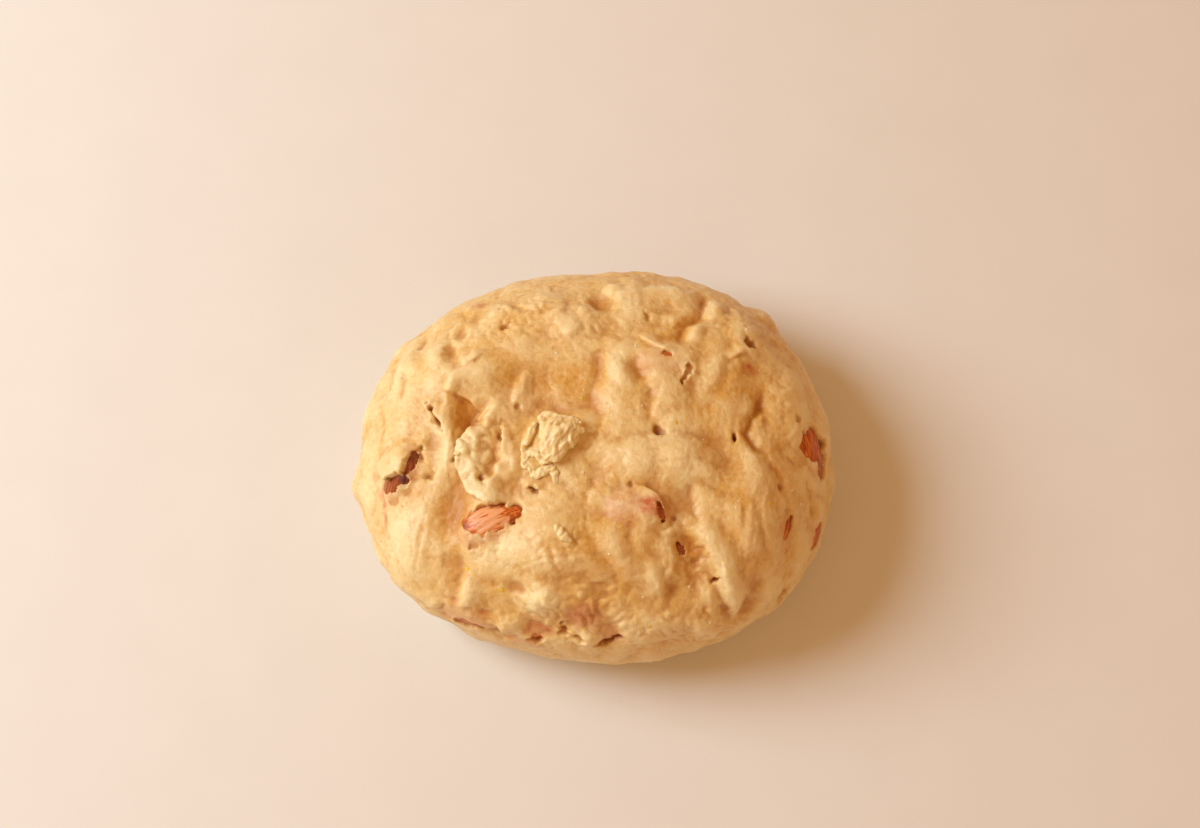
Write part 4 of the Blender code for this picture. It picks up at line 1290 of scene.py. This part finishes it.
def makeStudio():
    bpy.ops.mesh.primitive_plane_add(size=studio["floorSize"], location=(0.0, 0.0, 0.0))
    floor = bpy.context.object
    floor.name = "paleFloor"
    material, tree = newMaterial("paleFloorPaint")
    place = addNode(tree, "ShaderNodeTexCoord").outputs["Object"]
    mottle = addNode(tree, "ShaderNodeTexNoise",
                     {"Scale": 1.0 / studio["floorPatchSize"], "Detail": 3.0}, {"Vector": place})
    colour = layOver(tree, studio["floor"], studio["floorPatch"], mottle.outputs[0], 0.0, 1.0)
    shader = addNode(tree, "ShaderNodeBsdfPrincipled", {"Roughness": studio["floorRoughness"]},
                     {"Base Color": colour})
    addNode(tree, "ShaderNodeOutputMaterial", links={"Surface": shader.outputs[0]})
    floor.data.materials.append(material)
    world = bpy.data.worlds.new("softStudio")
    world.use_nodes = True
    background = world.node_tree.nodes["Background"]
    background.inputs["Color"].default_value = linear(studio["world"])
    background.inputs["Strength"].default_value = studio["worldStrength"]
    bpy.context.scene.world = world
    for name, power, place in (("key", studio["keyPower"], studio["keyPlace"]),
                               ("fill", studio["fillPower"], studio["fillPlace"])):
        light = bpy.data.lights.new(name, "AREA")
        light.energy = power
        light.shape = "DISK"
        light.size = studio["keySize"]
        light.color = studio["lightColour"]
        lamp = bpy.data.objects.new(name, light)
        lamp.location = place
        lamp.rotation_euler = Vector(place).to_track_quat("Z", "Y").to_euler()
        bpy.context.scene.collection.objects.link(lamp)
    bpy.context.scene.view_settings.view_transform = "Standard"


def makeCamera():
    elevation = math.radians(view["elevation"])
    right = Vector((1.0, 0.0, 0.0))
    up = Vector((0.0, math.sin(elevation), math.cos(elevation)))
    back = Vector((0.0, -math.cos(elevation), math.sin(elevation)))
    width, height = view["frameSize"]
    scale = view["scale"]
    aim = (Vector((0.0, 0.0, view["middleHeight"])) + right * ((width / 2.0 - view["middle"][0]) * scale)
           + up * ((view["middle"][1] - height / 2.0) * scale) + Vector(view["lumpShift"] * mm))
    camera = bpy.data.cameras.new("camera")
    camera.sensor_width = view["sensor"]
    camera.lens = view["sensor"] * view["distance"] / (width * scale)
    camera.clip_start = 0.01
    holder = bpy.data.objects.new("camera", camera)
    turned = Matrix((right, up, back)).transposed().to_4x4()
    holder.matrix_world = Matrix.Translation(aim + back * view["distance"]) @ turned
    bpy.context.scene.collection.objects.link(holder)
    bpy.context.scene.camera = holder


makeStudio()
doughMaterial = makeDoughMaterial()
almondMaterial = makeAlmondMaterial()
kernels = [makeAlmond(node, traits[0], almondMaterial) for node, traits in almonds.items()]
print("almonds made:", len(kernels))
dough = makeDough(kernels, doughMaterial)
shadeAlmonds(kernels)
doughTree = surfaceTree(dough.data)
makeTuft(doughTree, doughMaterial)
strewBits("zestFlakes", zest, doughTree, makeBitMaterial(zestFinish))
strewBits("paleGrains", grains, doughTree, makeBitMaterial(grainFinish))
makeCamera()
print("studio and camera set")
